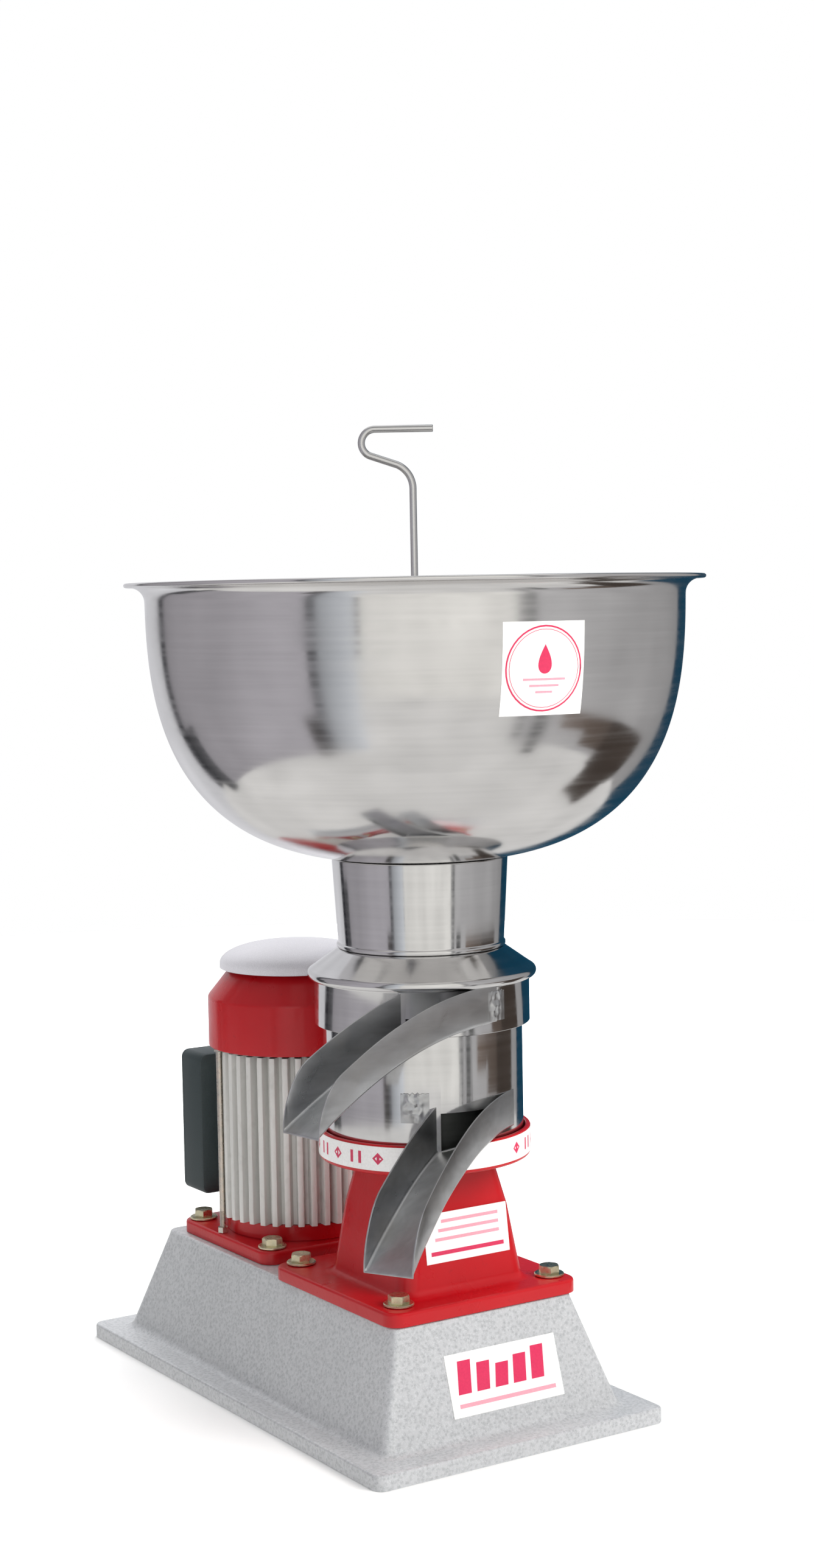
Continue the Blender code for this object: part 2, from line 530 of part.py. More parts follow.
def make_float_chamber(axis):
    """The neck below the supply bowl, with its feed tube, and the bell float inside."""
    foot = CHAMBER_Z + SHEET
    turned("float_chamber", [
        (0.0048, 0.3085), (0.0060, 0.3085), (0.0060, CHAMBER_Z - 0.0015), (CHAMBER_FOOT_R, CHAMBER_Z - 0.0015),
        (CHAMBER_FOOT_R + 0.0012, CHAMBER_Z - 0.0004), (CHAMBER_FOOT_R + 0.0010, CHAMBER_Z + 0.0012),
        (CHAMBER_FOOT_R, CHAMBER_Z + 0.0020), (CHAMBER_TOP_R, CHAMBER_TOP - 0.0012),
        (CHAMBER_TOP_R - 0.0004, CHAMBER_TOP - 0.0003), (CHAMBER_TOP_R - 0.0013, CHAMBER_TOP),
        (SEAT_R, SEAT_Z), (SEAT_INNER_R, SEAT_Z), (SEAT_INNER_R, SEAT_Z - SHEET), (SEAT_R, SEAT_Z - SHEET),
        (CHAMBER_TOP_R - 0.0020, CHAMBER_TOP - 0.0014), (CHAMBER_TOP_R - SHEET, CHAMBER_TOP - 0.0026),
        (CHAMBER_FOOT_R - SHEET, foot), (0.0048, foot),
    ], stainless(), axis)
    turned("float", [
        (0.0470, 0.3375), (0.0480, 0.3385), (0.0480, 0.3520), (0.0440, 0.3550), (0.0025, 0.3560),
        (0.0025, 0.3660), (0.0010, 0.3680), (0.0, 0.3680), (0.0, 0.3548), (0.0435, 0.3538), (0.0470, 0.3512),
    ], material("float_steel", (0.60, 0.60, 0.60), 0.3, 1.0), axis, COARSE)


# ---- supply bowl and tap ------------------------------------------------------------------------------------
def bowl_line():
    """The bowl's outer line, from the outlet in its bottom up to the edge of the rim."""
    power = 2 / BOWL_POWER
    points = [(0.0132, RIM_Z - BOWL_DEPTH)]
    for i in range(BOWL_STEPS):
        turn = math.radians(80 - 80 * i / BOWL_STEPS)
        radius = BOWL_R * math.cos(turn) ** power
        points.append((radius, RIM_Z - BOWL_DEPTH * math.sin(turn) ** power))
    cove = 0.010
    points += arc(BOWL_R + cove, RIM_Z - 0.003 - cove, cove, 180, 90, 3)
    return points


def make_bowl(axis):
    wall = sheet(bowl_line(), BOWL_SHEET)
    half = len(wall) // 2
    edge = [(RIM_R - 0.0006, RIM_Z - 0.0030), (RIM_R, RIM_Z - 0.0024), (RIM_R, RIM_Z - 0.0006),
            (RIM_R - 0.0006, RIM_Z), (RIM_R - 0.0030, RIM_Z)]
    turned("supply_bowl", wall[:half] + edge + wall[half:], stainless(), axis)
    seat_z = RIM_Z - BOWL_DEPTH + BOWL_SHEET + GAP
    turned("tap_seat", [
        (0.0060, 0.3765), (0.0080, 0.3765), (0.0080, 0.3860), (0.0129, 0.3860), (0.0129, seat_z),
        (0.0165, seat_z + 0.0001), (0.0165, seat_z + 0.0018), (0.0115, seat_z + 0.0030), (0.0060, 0.3860),
    ], steel(), axis, COARSE)


def make_tap(axis):
    """The tap rod: plug, straight stem, S-bend and the cross bar that is turned by hand."""
    plug = [(0.3870, 0.0052), (0.3955, 0.0102), (0.3990, 0.0102), (0.4010, ROD_R), (0.45, ROD_R),
            (0.55, ROD_R)]
    path = [(0.0, z) for z, _ in plug]
    path += arc(-ROD_TURN, ROD_BEND_Z, ROD_TURN, 0, 65, 5)
    path += arc(LOOP_AT, ROD_TOP_Z - ROD_LOOP, ROD_LOOP, 245, 90, 10) + [(BAR_END, ROD_TOP_Z)]
    radii = [r for _, r in plug] + [ROD_R] * (len(path) - len(plug))
    across = Vector((math.cos(math.radians(HANDLE_AIM)), math.sin(math.radians(HANDLE_AIM)), 0.0))
    up = Vector((0.0, 0.0, 1.0))
    out = across.cross(up)
    loops = []
    for i, (side, z) in enumerate(path):
        before, after = path[max(i - 1, 0)], path[min(i + 1, len(path) - 1)]
        ahead = (across * (after[0] - before[0]) + up * (after[1] - before[1])).normalized()
        level = ahead.cross(out)
        at = across * side + up * z
        loops.append([at + (out * a + level * b) * radii[i] for a, b in arc(0, 0, 1.0, 0, 315, 7)])
    skin("tap_rod", loops, stainless(), axis)


# ---- motor --------------------------------------------------------------------------------------------------
def finned_outline(z):
    """Straight fins round the barrel, each a little narrower at its tip."""
    points = []
    pitch = 360 / FIN_COUNT
    for fin in range(FIN_COUNT):
        middle = TIE_ROD_TURN + (fin + 0.5) * pitch
        for radius, offset in ((FIN_ROOT, -0.30), (FIN_TIP, -0.22), (FIN_TIP, 0.22), (FIN_ROOT, 0.30)):
            turn = math.radians(middle + offset * pitch)
            points.append((radius * math.cos(turn), radius * math.sin(turn), z))
    return points


def make_motor_case(axis):
    aluminium = material("aluminium", (0.70, 0.70, 0.68), 0.45, 0.6)
    dark = material("dark_casting", (0.12, 0.12, 0.12), 0.6, 0.4)
    bore = 0.0465
    outer = [finned_outline(z) for z in (BARREL_Z, BARREL_TOP)]
    points = 4 * FIN_COUNT
    turns = [math.radians(TIE_ROD_TURN + (0.20 + i / 4) * 360 / FIN_COUNT) for i in range(points)]
    inner = [[(bore * math.cos(t), bore * math.sin(t), z) for t in turns] for z in (BARREL_TOP, BARREL_Z)]
    skin("motor_barrel", outer + inner, aluminium, axis, ring=True)
    low, high, seat, shield_r, hub_r = PLATE_TOP + GAP, BARREL_Z - GAP, BEARING_R + GAP, 0.0560, 0.0200
    top = BARREL_TOP + GAP
    for name, outer_z, face_z, hub_z, finish in (("motor_shield_lower", low, high, high + 0.004, red_paint()),
                                                 ("motor_shield_upper", top + 0.0040, top, top - 0.0070, dark)):
        turned(name, [(seat, outer_z), (shield_r, outer_z), (shield_r, face_z), (hub_r, face_z), (hub_r, hub_z),
                      (seat, hub_z)], finish, axis)
    bearing("motor_bearing_lower", MOTOR_SHAFT_R, low + 0.0015, axis)
    bearing("motor_bearing_upper", MOTOR_SHAFT_R, top - 0.0065, axis)
    tube("stator", 0.0262, bore - GAP, 0.1240, 0.2140, material("laminations", (0.25, 0.22, 0.20), 0.6, 0.5), axis)


def make_motor_rotor(axis):
    turned("motor_shaft", [
        (0.0, 0.040), (MOTOR_SHAFT_R - 0.0008, 0.040), (MOTOR_SHAFT_R, 0.0408), (MOTOR_SHAFT_R, 0.2672),
        (MOTOR_SHAFT_R - 0.0008, 0.2680), (0.0, 0.2680),
    ], steel(), axis, COARSE)
    tube("rotor", MOTOR_SHAFT_R + GAP, 0.0256, 0.1240, 0.2140, material("rotor", (0.5, 0.5, 0.5), 0.4, 0.9), axis)
    pulley("motor_pulley", MOTOR_PULLEY_R, MOTOR_SHAFT_R + GAP, material("pulley", (0.55, 0.55, 0.56), 0.4, 0.8),
           axis, 24)
    blades, hub, tip, bore = 6, 0.014, 0.052, MOTOR_SHAFT_R + GAP
    sides = 4 * blades
    outer = []
    for z in (0.2450, 0.2620):
        loop = []
        for blade in range(blades):
            middle = blade * 360 / blades
            for radius, offset in ((hub, -10), (tip, -2), (tip, 2), (hub, 10)):
                turn = math.radians(middle + offset)
                loop.append((radius * math.cos(turn), radius * math.sin(turn), z))
        outer.append(loop)
    inner = []
    for z in (0.2620, 0.2450):
        turns = [math.radians(360 * i / sides - 22) for i in range(sides)]
        inner.append([(bore * math.cos(t), bore * math.sin(t), z) for t in turns])
    skin("cooling_fan", outer + inner, black_plastic(), axis, ring=True)


def make_motor_covers(axis):
    inner_r = COWL_R - COWL_WALL
    top_r = 0.0500
    cowl = turned("fan_cowl", [
        (inner_r, COWL_Z), (COWL_R, COWL_Z), (COWL_R, COWL_SHOULDER), (COWL_R - 0.0012, COWL_SHOULDER + 0.003),
        (top_r + 0.002, COWL_TOP - 0.0015), (top_r, COWL_TOP), (0.0, COWL_TOP), (0.0, COWL_TOP - COWL_WALL),
        (top_r - 0.001, COWL_TOP - COWL_WALL), (inner_r - 0.001, COWL_SHOULDER + 0.002), (inner_r, COWL_SHOULDER),
    ], red_paint(), axis)
    for number in range(8):
        turn = math.radians(45 * number + 15)
        along = Vector((math.cos(turn), math.sin(turn)))
        aside = Vector((-along.y, along.x))
        corners = [along * a + aside * b for a, b in ((0.018, -0.0022), (0.044, -0.0040), (0.044, 0.0040),
                                                      (0.018, 0.0022))]
        loops = [[(*corner, z) for corner in corners] for z in (COWL_TOP - 0.004, COWL_TOP + 0.002)]
        boolean(cowl, skin(f"inlet_slot_{number + 1}", loops, steel(), axis))
    dome = [(DRIP_R * math.sin(a), DRIP_Z + 0.004 + (DRIP_TOP - DRIP_Z - 0.004) * math.cos(a))
            for a in (math.radians(90 - 22.5 * i) for i in range(5))]
    shell = sheet([(DRIP_R, DRIP_Z)] + dome[:-1], 0.0012)
    half = len(shell) // 2
    foot = [(0.0, DRIP_TOP), (0.0, COWL_TOP + GAP), (0.009, COWL_TOP + GAP), (0.007, DRIP_TOP - 0.003)]
    turned("drip_cover", shell[:half] + foot + shell[half:], material("white_cap", (0.75, 0.74, 0.76), 0.45), axis)
    low, high, nut = PLATE_TOP + GAP, COWL_Z - GAP, 0.0016
    loops = [circle(r, z, 8) for r, z in (
        (TIE_NUT_R, low), (TIE_NUT_R, low + 0.004), (TIE_ROD_R, low + 0.004), (TIE_ROD_R, high - nut),
        (TIE_NUT_R, high - nut), (TIE_NUT_R, high))]
    first = None
    for number, (x, y) in enumerate(arc(0, 0, TIE_ROD_AT, TIE_ROD_TURN, TIE_ROD_TURN + 240, 2), 1):
        at = (x, y, 0.0)
        if first is None:
            first = skin("tie_rod_1", loops, zinc(), axis)
            first.location = at
        else:
            place(f"tie_rod_{number}", first.data, axis, at)


def upright(half_x, half_z, y, corner, centre_z):
    """A rounded rectangle standing in a plane of constant y."""
    return [(x, y, z) for x, z, _ in rounded_rectangle(half_x, half_z, 0.0, corner, (0.0, centre_z), 3)]


def make_terminal_box(axis):
    """The box on its pad behind the barrel, open to the rear, with its raised lid, gland and contents."""
    z_mid, half_x, half_z, front, rear = 0.1668, 0.0455, 0.0553, 0.0725, 0.1010
    pad_x, pad_z = 0.0180, 0.0300
    outside = [upright(pad_x, pad_z, y, 0.004, z_mid) for y in (FIN_TIP + GAP, front)]
    outside += [upright(half_x - 0.002, half_z - 0.002, front, 0.004, z_mid),
                upright(half_x, half_z, front + 0.002, 0.005, z_mid), upright(half_x, half_z, rear, 0.005, z_mid)]
    box = skin("terminal_box", outside, black_plastic(), axis)
    hollow = [upright(half_x - 0.0025, half_z - 0.0025, y, 0.003, z_mid) for y in (front + 0.003, rear + 0.002)]
    boolean(box, skin("terminal_hollow", hollow, black_plastic(), axis))
    gland_z, gland_y = z_mid - 0.030, (front + rear) / 2 + 0.001
    hole = [[(x, y + gland_y, z + gland_z) for y, z in arc(0, 0, 0.0063, 0, 337.5, 15)]
            for x in (half_x - 0.006, half_x + 0.004)]
    boolean(box, skin("gland_hole", hole, black_plastic(), axis))
    lid_z, lid_x = 0.0460, 0.0400
    steps = ((half_x, half_z, rear + GAP, 0.005), (half_x, half_z, rear + 0.0025, 0.005),
             (half_x - 0.0015, half_z - 0.0015, rear + 0.0035, 0.005), (lid_x, lid_z + 0.001, rear + 0.0045, 0.010),
             (lid_x - 0.001, lid_z, rear + 0.0120, 0.011), (lid_x - 0.003, lid_z - 0.002, rear + 0.0140, 0.010))
    skin("terminal_box_lid", [upright(x, z, y, r, z_mid) for x, z, y, r in steps], black_plastic(), axis)
    profile = ((half_x - 0.0045, 0.0060), (half_x + GAP, 0.0060), (half_x + GAP, 0.0090), (half_x + 0.006, 0.0090),
               (half_x + 0.0075, 0.0080), (half_x + 0.016, 0.0078), (half_x + 0.018, 0.0055),
               (half_x + 0.018, 0.0040), (half_x - 0.0045, 0.0040))
    loops = [[(x, gland_y + r * c, gland_z + r * s) for c, s in arc(0, 0, 1.0, 0, 337.5, 15)] for x, r in profile]
    skin("cable_gland", loops, black_plastic(), axis, ring=True)
    can = [[(x + 0.010, y + gland_y - 0.0005, z) for x, y in arc(0, 0, 0.0110, 0, 337.5, 15)]
           for z in (z_mid - 0.012, z_mid + 0.040)]
    skin("run_capacitor", can, material("capacitor", (0.6, 0.6, 0.6), 0.5), axis)
    block = [rounded_rectangle(0.010, 0.006, z, 0.001, (-0.022, gland_y), 1) for z in (z_mid - 0.030, z_mid + 0.020)]
    skin("terminal_block", block, material("terminal_block", (0.75, 0.73, 0.65), 0.5), axis)


def clear_scene():
    for obj in list(bpy.data.objects):
        bpy.data.objects.remove(obj, do_unlink=True)


def main():
    clear_scene()
    column = axis_empty("column_axis", AXIS_Y)
    motor = axis_empty("motor_axis", MOTOR_Y)
    holes = list(bolt_holes())
    make_base(holes)
    make_body(holes)
    make_motor_plate(holes)
    make_bolts()
    make_spindle(column)
    make_belt()
    make_drum(column)
    make_milk_cover(column)
    make_cream_cover(column)
    make_float_chamber(column)
    make_bowl(column)
    make_tap(column)
    make_motor_case(motor)
    make_motor_rotor(motor)
    make_motor_covers(motor)
    make_terminal_box(motor)


main()
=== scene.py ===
"""The looks of the cream separator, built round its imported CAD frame.

Metres, +Z up, in the frame of the CAD model. The column that carries the covers and the supply bowl stands
on one vertical axis, and the motor on another. A turned or swept piece has its origin on its axis, so that
its material's grain runs round it.
"""

import math

import bmesh
import bpy
from mathutils import Matrix, Vector, noise


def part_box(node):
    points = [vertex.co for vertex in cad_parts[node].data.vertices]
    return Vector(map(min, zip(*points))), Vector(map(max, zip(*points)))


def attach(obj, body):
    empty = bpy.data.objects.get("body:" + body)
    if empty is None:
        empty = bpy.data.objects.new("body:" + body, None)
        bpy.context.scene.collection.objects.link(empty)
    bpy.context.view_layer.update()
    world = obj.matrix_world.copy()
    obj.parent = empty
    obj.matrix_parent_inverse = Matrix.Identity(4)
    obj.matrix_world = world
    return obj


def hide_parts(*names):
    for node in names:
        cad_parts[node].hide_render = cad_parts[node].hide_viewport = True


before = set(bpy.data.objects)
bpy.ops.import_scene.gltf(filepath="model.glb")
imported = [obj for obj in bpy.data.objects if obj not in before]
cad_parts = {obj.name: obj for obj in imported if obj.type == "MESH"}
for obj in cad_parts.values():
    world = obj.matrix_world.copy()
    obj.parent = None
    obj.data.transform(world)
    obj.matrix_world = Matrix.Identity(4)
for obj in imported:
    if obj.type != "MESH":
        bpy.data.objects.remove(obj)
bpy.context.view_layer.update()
noise.seed_set(1)               # vector noise otherwise starts from the clock and differs each run

# ---- sizes: from the CAD boxes where they give them, else the model's own ------------------------
BOWL_LOW, BOWL_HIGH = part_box("supply_bowl")
AXIS_Y = (BOWL_LOW.y + BOWL_HIGH.y) / 2
RIM_R, RIM_Z = BOWL_HIGH.x, BOWL_HIGH.z
BOWL_DEPTH = RIM_Z - BOWL_LOW.z
RIM_COVE = 0.010
BOWL_R, BOWL_POWER, BOWL_SHEET = RIM_R - 0.014, 2.8, 0.0012
COWL_LOW, COWL_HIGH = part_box("fan_cowl")
COWL_R = COWL_HIGH.x
MOTOR_Y = (COWL_LOW.y + COWL_HIGH.y) / 2
COLUMN, MOTOR = Vector((0.0, AXIS_Y, 0.0)), Vector((0.0, MOTOR_Y, 0.0))
GAP, SHEET = 0.0003, 0.0010
SIDES = 160                     # round a large turned piece

FOOT_LOW, FOOT_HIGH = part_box("base_casting")
FOOT_Y, FOOT_Z = (FOOT_LOW.y + FOOT_HIGH.y) / 2, 0.0105
FOOT_HALF = Vector((FOOT_HIGH.x, (FOOT_HIGH.y - FOOT_LOW.y) / 2))
BOX_FOOT_HALF = FOOT_HALF - Vector((0.020, 0.0225))
BOX_TOP_HALF = FOOT_HALF - Vector((0.045, 0.0465))
BOX_TOP_Z, CAST_WALL = FOOT_HIGH.z, 0.005

BODY_LOW, BODY_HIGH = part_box("body_casting")
PLATE_LOW, PLATE_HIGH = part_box("motor_plate")
PLATE_Z, PLATE_TOP = PLATE_LOW.z, PLATE_HIGH.z
BODY_PLATE_FRONT = -0.1250
PAN_R, PAN_WALL = 0.0742, 0.0036
PAN_BOTTOM, PAN_FLOOR, PAN_LIP = 0.1845, 0.1900, BODY_HIGH.z
COLUMN_FOOT, COLUMN_TOP = 0.0512, 0.0395

MILK_R, MILK_BOTTOM, MILK_TOP = 0.0696, 0.1915, 0.2838
MILK_GUTTER, MILK_FLOOR = 0.1985, 0.2090
CREAM_R, CREAM_BOTTOM, CREAM_FLOOR = 0.0750, 0.2785, 0.2852
BEAD_R, BEAD_Z, BEAD_WIRE = 0.0800, 0.3135, 0.0038
CONE_TOP_R, CONE_TOP_Z = 0.0570, 0.3310
SPOUT_WIDE, SPOUT_FLARE, SPOUT_NOSE = 0.0305, 0.006, 0.020
SPOUT_NEAR_WALL, SPOUT_FAR_WALL = 0.0245, 0.0300
CREAM_AIM, CREAM_REACH, CREAM_DROP = 189.0, 0.158, 2.20
MILK_AIM, MILK_REACH, MILK_DROP = 209.0, 0.150, 3.02

NECK_LOW, NECK_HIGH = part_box("float_chamber")
NECK_R, NECK_TOP = NECK_HIGH.x, NECK_HIGH.z
NECK_FOOT_R, NECK_Z = 0.0578, 0.3330
SEAT_R, SEAT_INNER_R, SEAT_Z = 0.0533, 0.0500, 0.3931

BARREL_LOW, BARREL_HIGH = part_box("motor_barrel")
FIN_COUNT, FIN_ROOT, FIN_TIP, BARREL_BORE = 39, 0.0540, 0.0620, 0.0465
TIE_ROD_AT, TIE_ROD_TURN = 0.0632, 171.0
DRIP_LOW, DRIP_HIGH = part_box("drip_cover")
BOX_LOW, BOX_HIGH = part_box("terminal_box")
LID_LOW, LID_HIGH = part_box("terminal_box_lid")


# ---- materials -----------------------------------------------------------------------------------
class Graph:
    """A node tree, with short ways to add nodes to it."""

    def __init__(self, owner):
        self.made = owner
        owner.use_nodes = True
        self.tree = owner.node_tree
        self.coordinates = self.add("ShaderNodeTexCoord")
        self.where = self.coordinates.outputs["Object"]

    def add(self, kind, inputs={}, **settings):
        made = self.tree.nodes.new(kind)
        for key, value in settings.items():
            setattr(made, key, value)
        for key, value in inputs.items():
            if isinstance(value, bpy.types.NodeSocket):
                self.join(value, made.inputs[key])
            else:
                made.inputs[key].default_value = value
        return made

    def join(self, start, end):
        self.tree.links.new(start, end)

    def ranged(self, value, low, high, start=0.3, end=0.7):
        return self.add("ShaderNodeMapRange", {"From Min": start, "From Max": end, "To Min": low,
                                               "To Max": high, "Value": value}).outputs["Result"]

    def sum(self, first, second, operation="ADD"):
        return self.add("ShaderNodeMath", {0: first, 1: second}, operation=operation).outputs[0]


class Finish(Graph):
    """One procedural material: every method adds a few nodes in front of its Principled shader."""

    def __init__(self, name, metal=0.0, coat=0.0, coat_rough=0.08, anisotropic=0.0):
        super().__init__(bpy.data.materials.new(name))
        self.shader = self.tree.nodes["Principled BSDF"]
        for socket, value in (("Metallic", metal), ("Coat Weight", coat), ("Coat Roughness", coat_rough),
                              ("Anisotropic", anisotropic)):
            self.shader.inputs[socket].default_value = value
        if anisotropic:
            tangent = self.add("ShaderNodeTangent", direction_type="RADIAL", axis="Z")
            self.join(tangent.outputs["Tangent"], self.shader.inputs["Tangent"])

    def stretched(self, stretch):
        return self.add("ShaderNodeMapping", {"Scale": stretch, "Vector": self.where}).outputs["Vector"]

    def noise(self, scale, stretch=(1, 1, 1), detail=4.0, warp=0.0):
        return self.add("ShaderNodeTexNoise", {"Scale": scale, "Detail": detail, "Distortion": warp,
                                               "Vector": self.stretched(stretch)}).outputs["Fac"]

    def cells(self, scale):
        return self.add("ShaderNodeTexVoronoi", {"Scale": scale, "Vector": self.stretched((1, 1, 1))},
                        feature="SMOOTH_F1").outputs["Distance"]

    def mixed(self, share, first, second):
        """Two colours, each a socket or three numbers, mixed by share."""
        first, second = (colour if isinstance(colour, bpy.types.NodeSocket) else (*colour, 1.0)
                         for colour in (first, second))
        return self.add("ShaderNodeMix", {0: share, 6: first, 7: second}, data_type="RGBA").outputs[2]

    def colour(self, socket):
        self.join(socket, self.shader.inputs["Base Color"])

    def rough(self, socket):
        self.join(socket, self.shader.inputs["Roughness"])

    def times(self, socket, factor):
        return self.sum(socket, factor, "MULTIPLY")

    def bump(self, height, strength, distance):
        made = self.add("ShaderNodeBump", {"Strength": strength, "Distance": distance, "Height": height})
        self.join(made.outputs["Normal"], self.shader.inputs["Normal"])


def shade(colour, by):
    return tuple(channel * by for channel in colour)


def metal_sheet(name, colour, rough, ring=260.0, smear=0.05, waves=0.0, anisotropic=0.35):
    """Stainless sheet: fine lines round the axis, faint smears and, on hand-bent sheet, shallow waves."""
    look = Finish(name, metal=1.0, anisotropic=anisotropic)
    lines = look.noise(1.0, (6, 6, ring), detail=6.0)
    smears = look.noise(14.0, (1, 1, 2.5), detail=5.0, warp=0.6)
    tint = look.mixed(look.ranged(lines, 0.0, 1.0), shade(colour, 0.96), shade(colour, 1.03))
    tint = look.mixed(look.ranged(smears, 0.0, 0.25), tint, shade(colour, 0.80))
    look.colour(tint)
    look.rough(look.sum(look.ranged(lines, rough - 0.03, rough + 0.04), look.ranged(smears, 0.0, smear)))
    shallow = look.times(look.noise(16.0, detail=2.0), waves)
    look.bump(look.sum(look.times(lines, 0.018), shallow), 0.12, 0.0010)
    return look.made


def satin_spout():
    """Duller bent sheet with rolling marks along it, finger marks and shallow waves."""
    look = Finish("spout_steel", metal=1.0)
    base = (0.58, 0.59, 0.60)
    marks = look.noise(30.0, (1, 4, 4), detail=8.0, warp=0.4)
    patches = look.noise(26.0, detail=5.0, warp=1.2)
    tint = look.mixed(look.ranged(marks, 0.0, 1.0), shade(base, 0.84), shade(base, 1.10))
    look.colour(look.mixed(look.ranged(patches, 0.0, 0.40, 0.42, 0.72), tint, (0.46, 0.44, 0.41)))
    look.rough(look.ranged(patches, 0.26, 0.40))
    look.bump(look.sum(look.noise(34.0, detail=3.0), look.ranged(marks, 0.0, 0.1)), 0.14, 0.0010)
    return look.made


def red_gloss():
    """Glossy red enamel over a casting: slight orange peel, deeper and paler areas, a few dull spots."""
    look = Finish("red_gloss", coat=0.28, coat_rough=0.06)
    look.shader.inputs["Specular IOR Level"].default_value = 0.3
    wide = look.noise(9.0, detail=3.0)
    tint = look.mixed(look.ranged(wide, 0.0, 1.0), (0.42, 0.002, 0.006), (0.50, 0.005, 0.010))
    specks = look.ranged(look.noise(190.0, detail=2.0), 0.0, 0.55, 0.68, 0.78)
    look.colour(look.mixed(specks, tint, (0.32, 0.004, 0.008)))
    look.rough(look.ranged(look.noise(28.0, detail=6.0, warp=0.5), 0.24, 0.42))
    look.bump(look.sum(look.noise(240.0, detail=2.0), look.times(look.noise(38.0), 1.6)), 0.20, 0.0006)
    return look.made


def hammered_silver():
    """Hammer-finish silver enamel: small rounded cells with bright rims and flakes."""
    look = Finish("hammered_silver", metal=0.35, coat=0.25, coat_rough=0.22)
    dents = look.cells(430.0)
    flakes = look.noise(1100.0, detail=3.0)
    wide = look.noise(16.0, detail=4.0)
    tint = look.mixed(look.ranged(dents, 0.0, 1.0, 0.05, 0.55), (0.42, 0.435, 0.45), (0.60, 0.61, 0.625))
    tint = look.mixed(look.ranged(flakes, 0.0, 0.55, 0.5, 0.68), tint, (0.78, 0.79, 0.81))
    look.colour(look.mixed(look.ranged(wide, 0.0, 0.16), tint, (0.42, 0.43, 0.44)))
    look.rough(look.ranged(flakes, 0.34, 0.52))
    look.bump(look.sum(dents, look.times(wide, 1.5)), 0.25, 0.0004)
    return look.made


def fin_paint():
    """Thin ivory-grey paint on die-cast aluminium, duller in the grooves."""
    look = Finish("fin_paint", metal=0.15)
    cast = look.noise(160.0, (1, 1, 0.6), detail=6.0)
    streak = look.noise(30.0, (2, 2, 0.25), detail=4.0)
    tint = look.mixed(look.ranged(streak, 0.0, 1.0), (0.60, 0.595, 0.57), (0.72, 0.715, 0.69))
    look.colour(look.mixed(look.ranged(cast, 0.0, 0.4, 0.55, 0.75), tint, (0.46, 0.45, 0.42)))
    look.rough(look.ranged(cast, 0.38, 0.58))
    look.bump(cast, 0.30, 0.0004)
    return look.made


def yellow_zinc(name, pale):
    """Yellow-passivated zinc: straw colour drifting to green and pink, with scuffs on the corners."""
    look = Finish(name, metal=1.0)
    drift = look.noise(120.0, detail=2.0, warp=0.8)
    tint = look.mixed(look.ranged(drift, 0.0, 1.0), (0.62, 0.60, 0.42 + pale), (0.78, 0.68, 0.46 + pale))
    scuff = look.noise(420.0, detail=5.0)
    look.colour(look.mixed(look.ranged(scuff, 0.0, 0.4, 0.55, 0.72), tint, (0.70, 0.69, 0.64)))
    look.rough(look.ranged(scuff, 0.22, 0.42))
    look.bump(scuff, 0.06, 0.0003)
    return look.made


def plastic(name, colour, rough, grain=900.0, depth=0.25, coat=0.0):
    """Moulded plastic with a fine spark-eroded grain and slight flow marks."""
    look = Finish(name, coat=coat)
    fine = look.noise(grain, detail=2.0)
    flow = look.noise(12.0, (1, 1, 0.4), detail=3.0, warp=0.5)
    tint = look.mixed(look.ranged(fine, 0.0, 1.0), shade(colour, 0.88), shade(colour, 1.10))
    look.colour(look.mixed(look.ranged(flow, 0.0, 0.3), tint, shade(colour, 1.25)))
    look.rough(look.ranged(flow, rough - 0.05, rough + 0.08))
    look.bump(look.sum(fine, look.times(flow, 0.6)), depth, 0.0003)
    return look.made


def machined(name, colour, rough, metal=1.0, ring=500.0, blotch=None, anisotropic=0.0):
    """Turned or cast metal: tool lines round the axis, and blotches of another colour such as oil."""
    look = Finish(name, metal=metal, anisotropic=anisotropic)
    lines = look.noise(1.0, (20, 20, ring), detail=5.0)
    patch = look.noise(55.0, detail=5.0, warp=0.7)
    tint = look.mixed(look.ranged(lines, 0.0, 1.0), shade(colour, 0.88), shade(colour, 1.08))
    look.colour(look.mixed(look.ranged(patch, 0.0, 0.5, 0.5, 0.75), tint, blotch or shade(colour, 0.65)))
    look.rough(look.sum(look.ranged(lines, rough - 0.05, rough + 0.05), look.ranged(patch, 0.0, 0.10)))
    look.bump(lines, 0.25, 0.0003)
    return look.made


def printed(name, colour):
    """Glossy self-adhesive film with a slightly uneven print."""
    look = Finish(name, coat=0.3, coat_rough=0.15)
    ink = look.noise(700.0, detail=3.0)
    look.colour(look.mixed(look.ranged(ink, 0.0, 1.0), shade(colour, 0.94), shade(colour, 1.04)))
    look.rough(look.ranged(look.noise(60.0), 0.30, 0.45))
    look.bump(look.noise(90.0), 0.10, 0.0003)
    return look.made


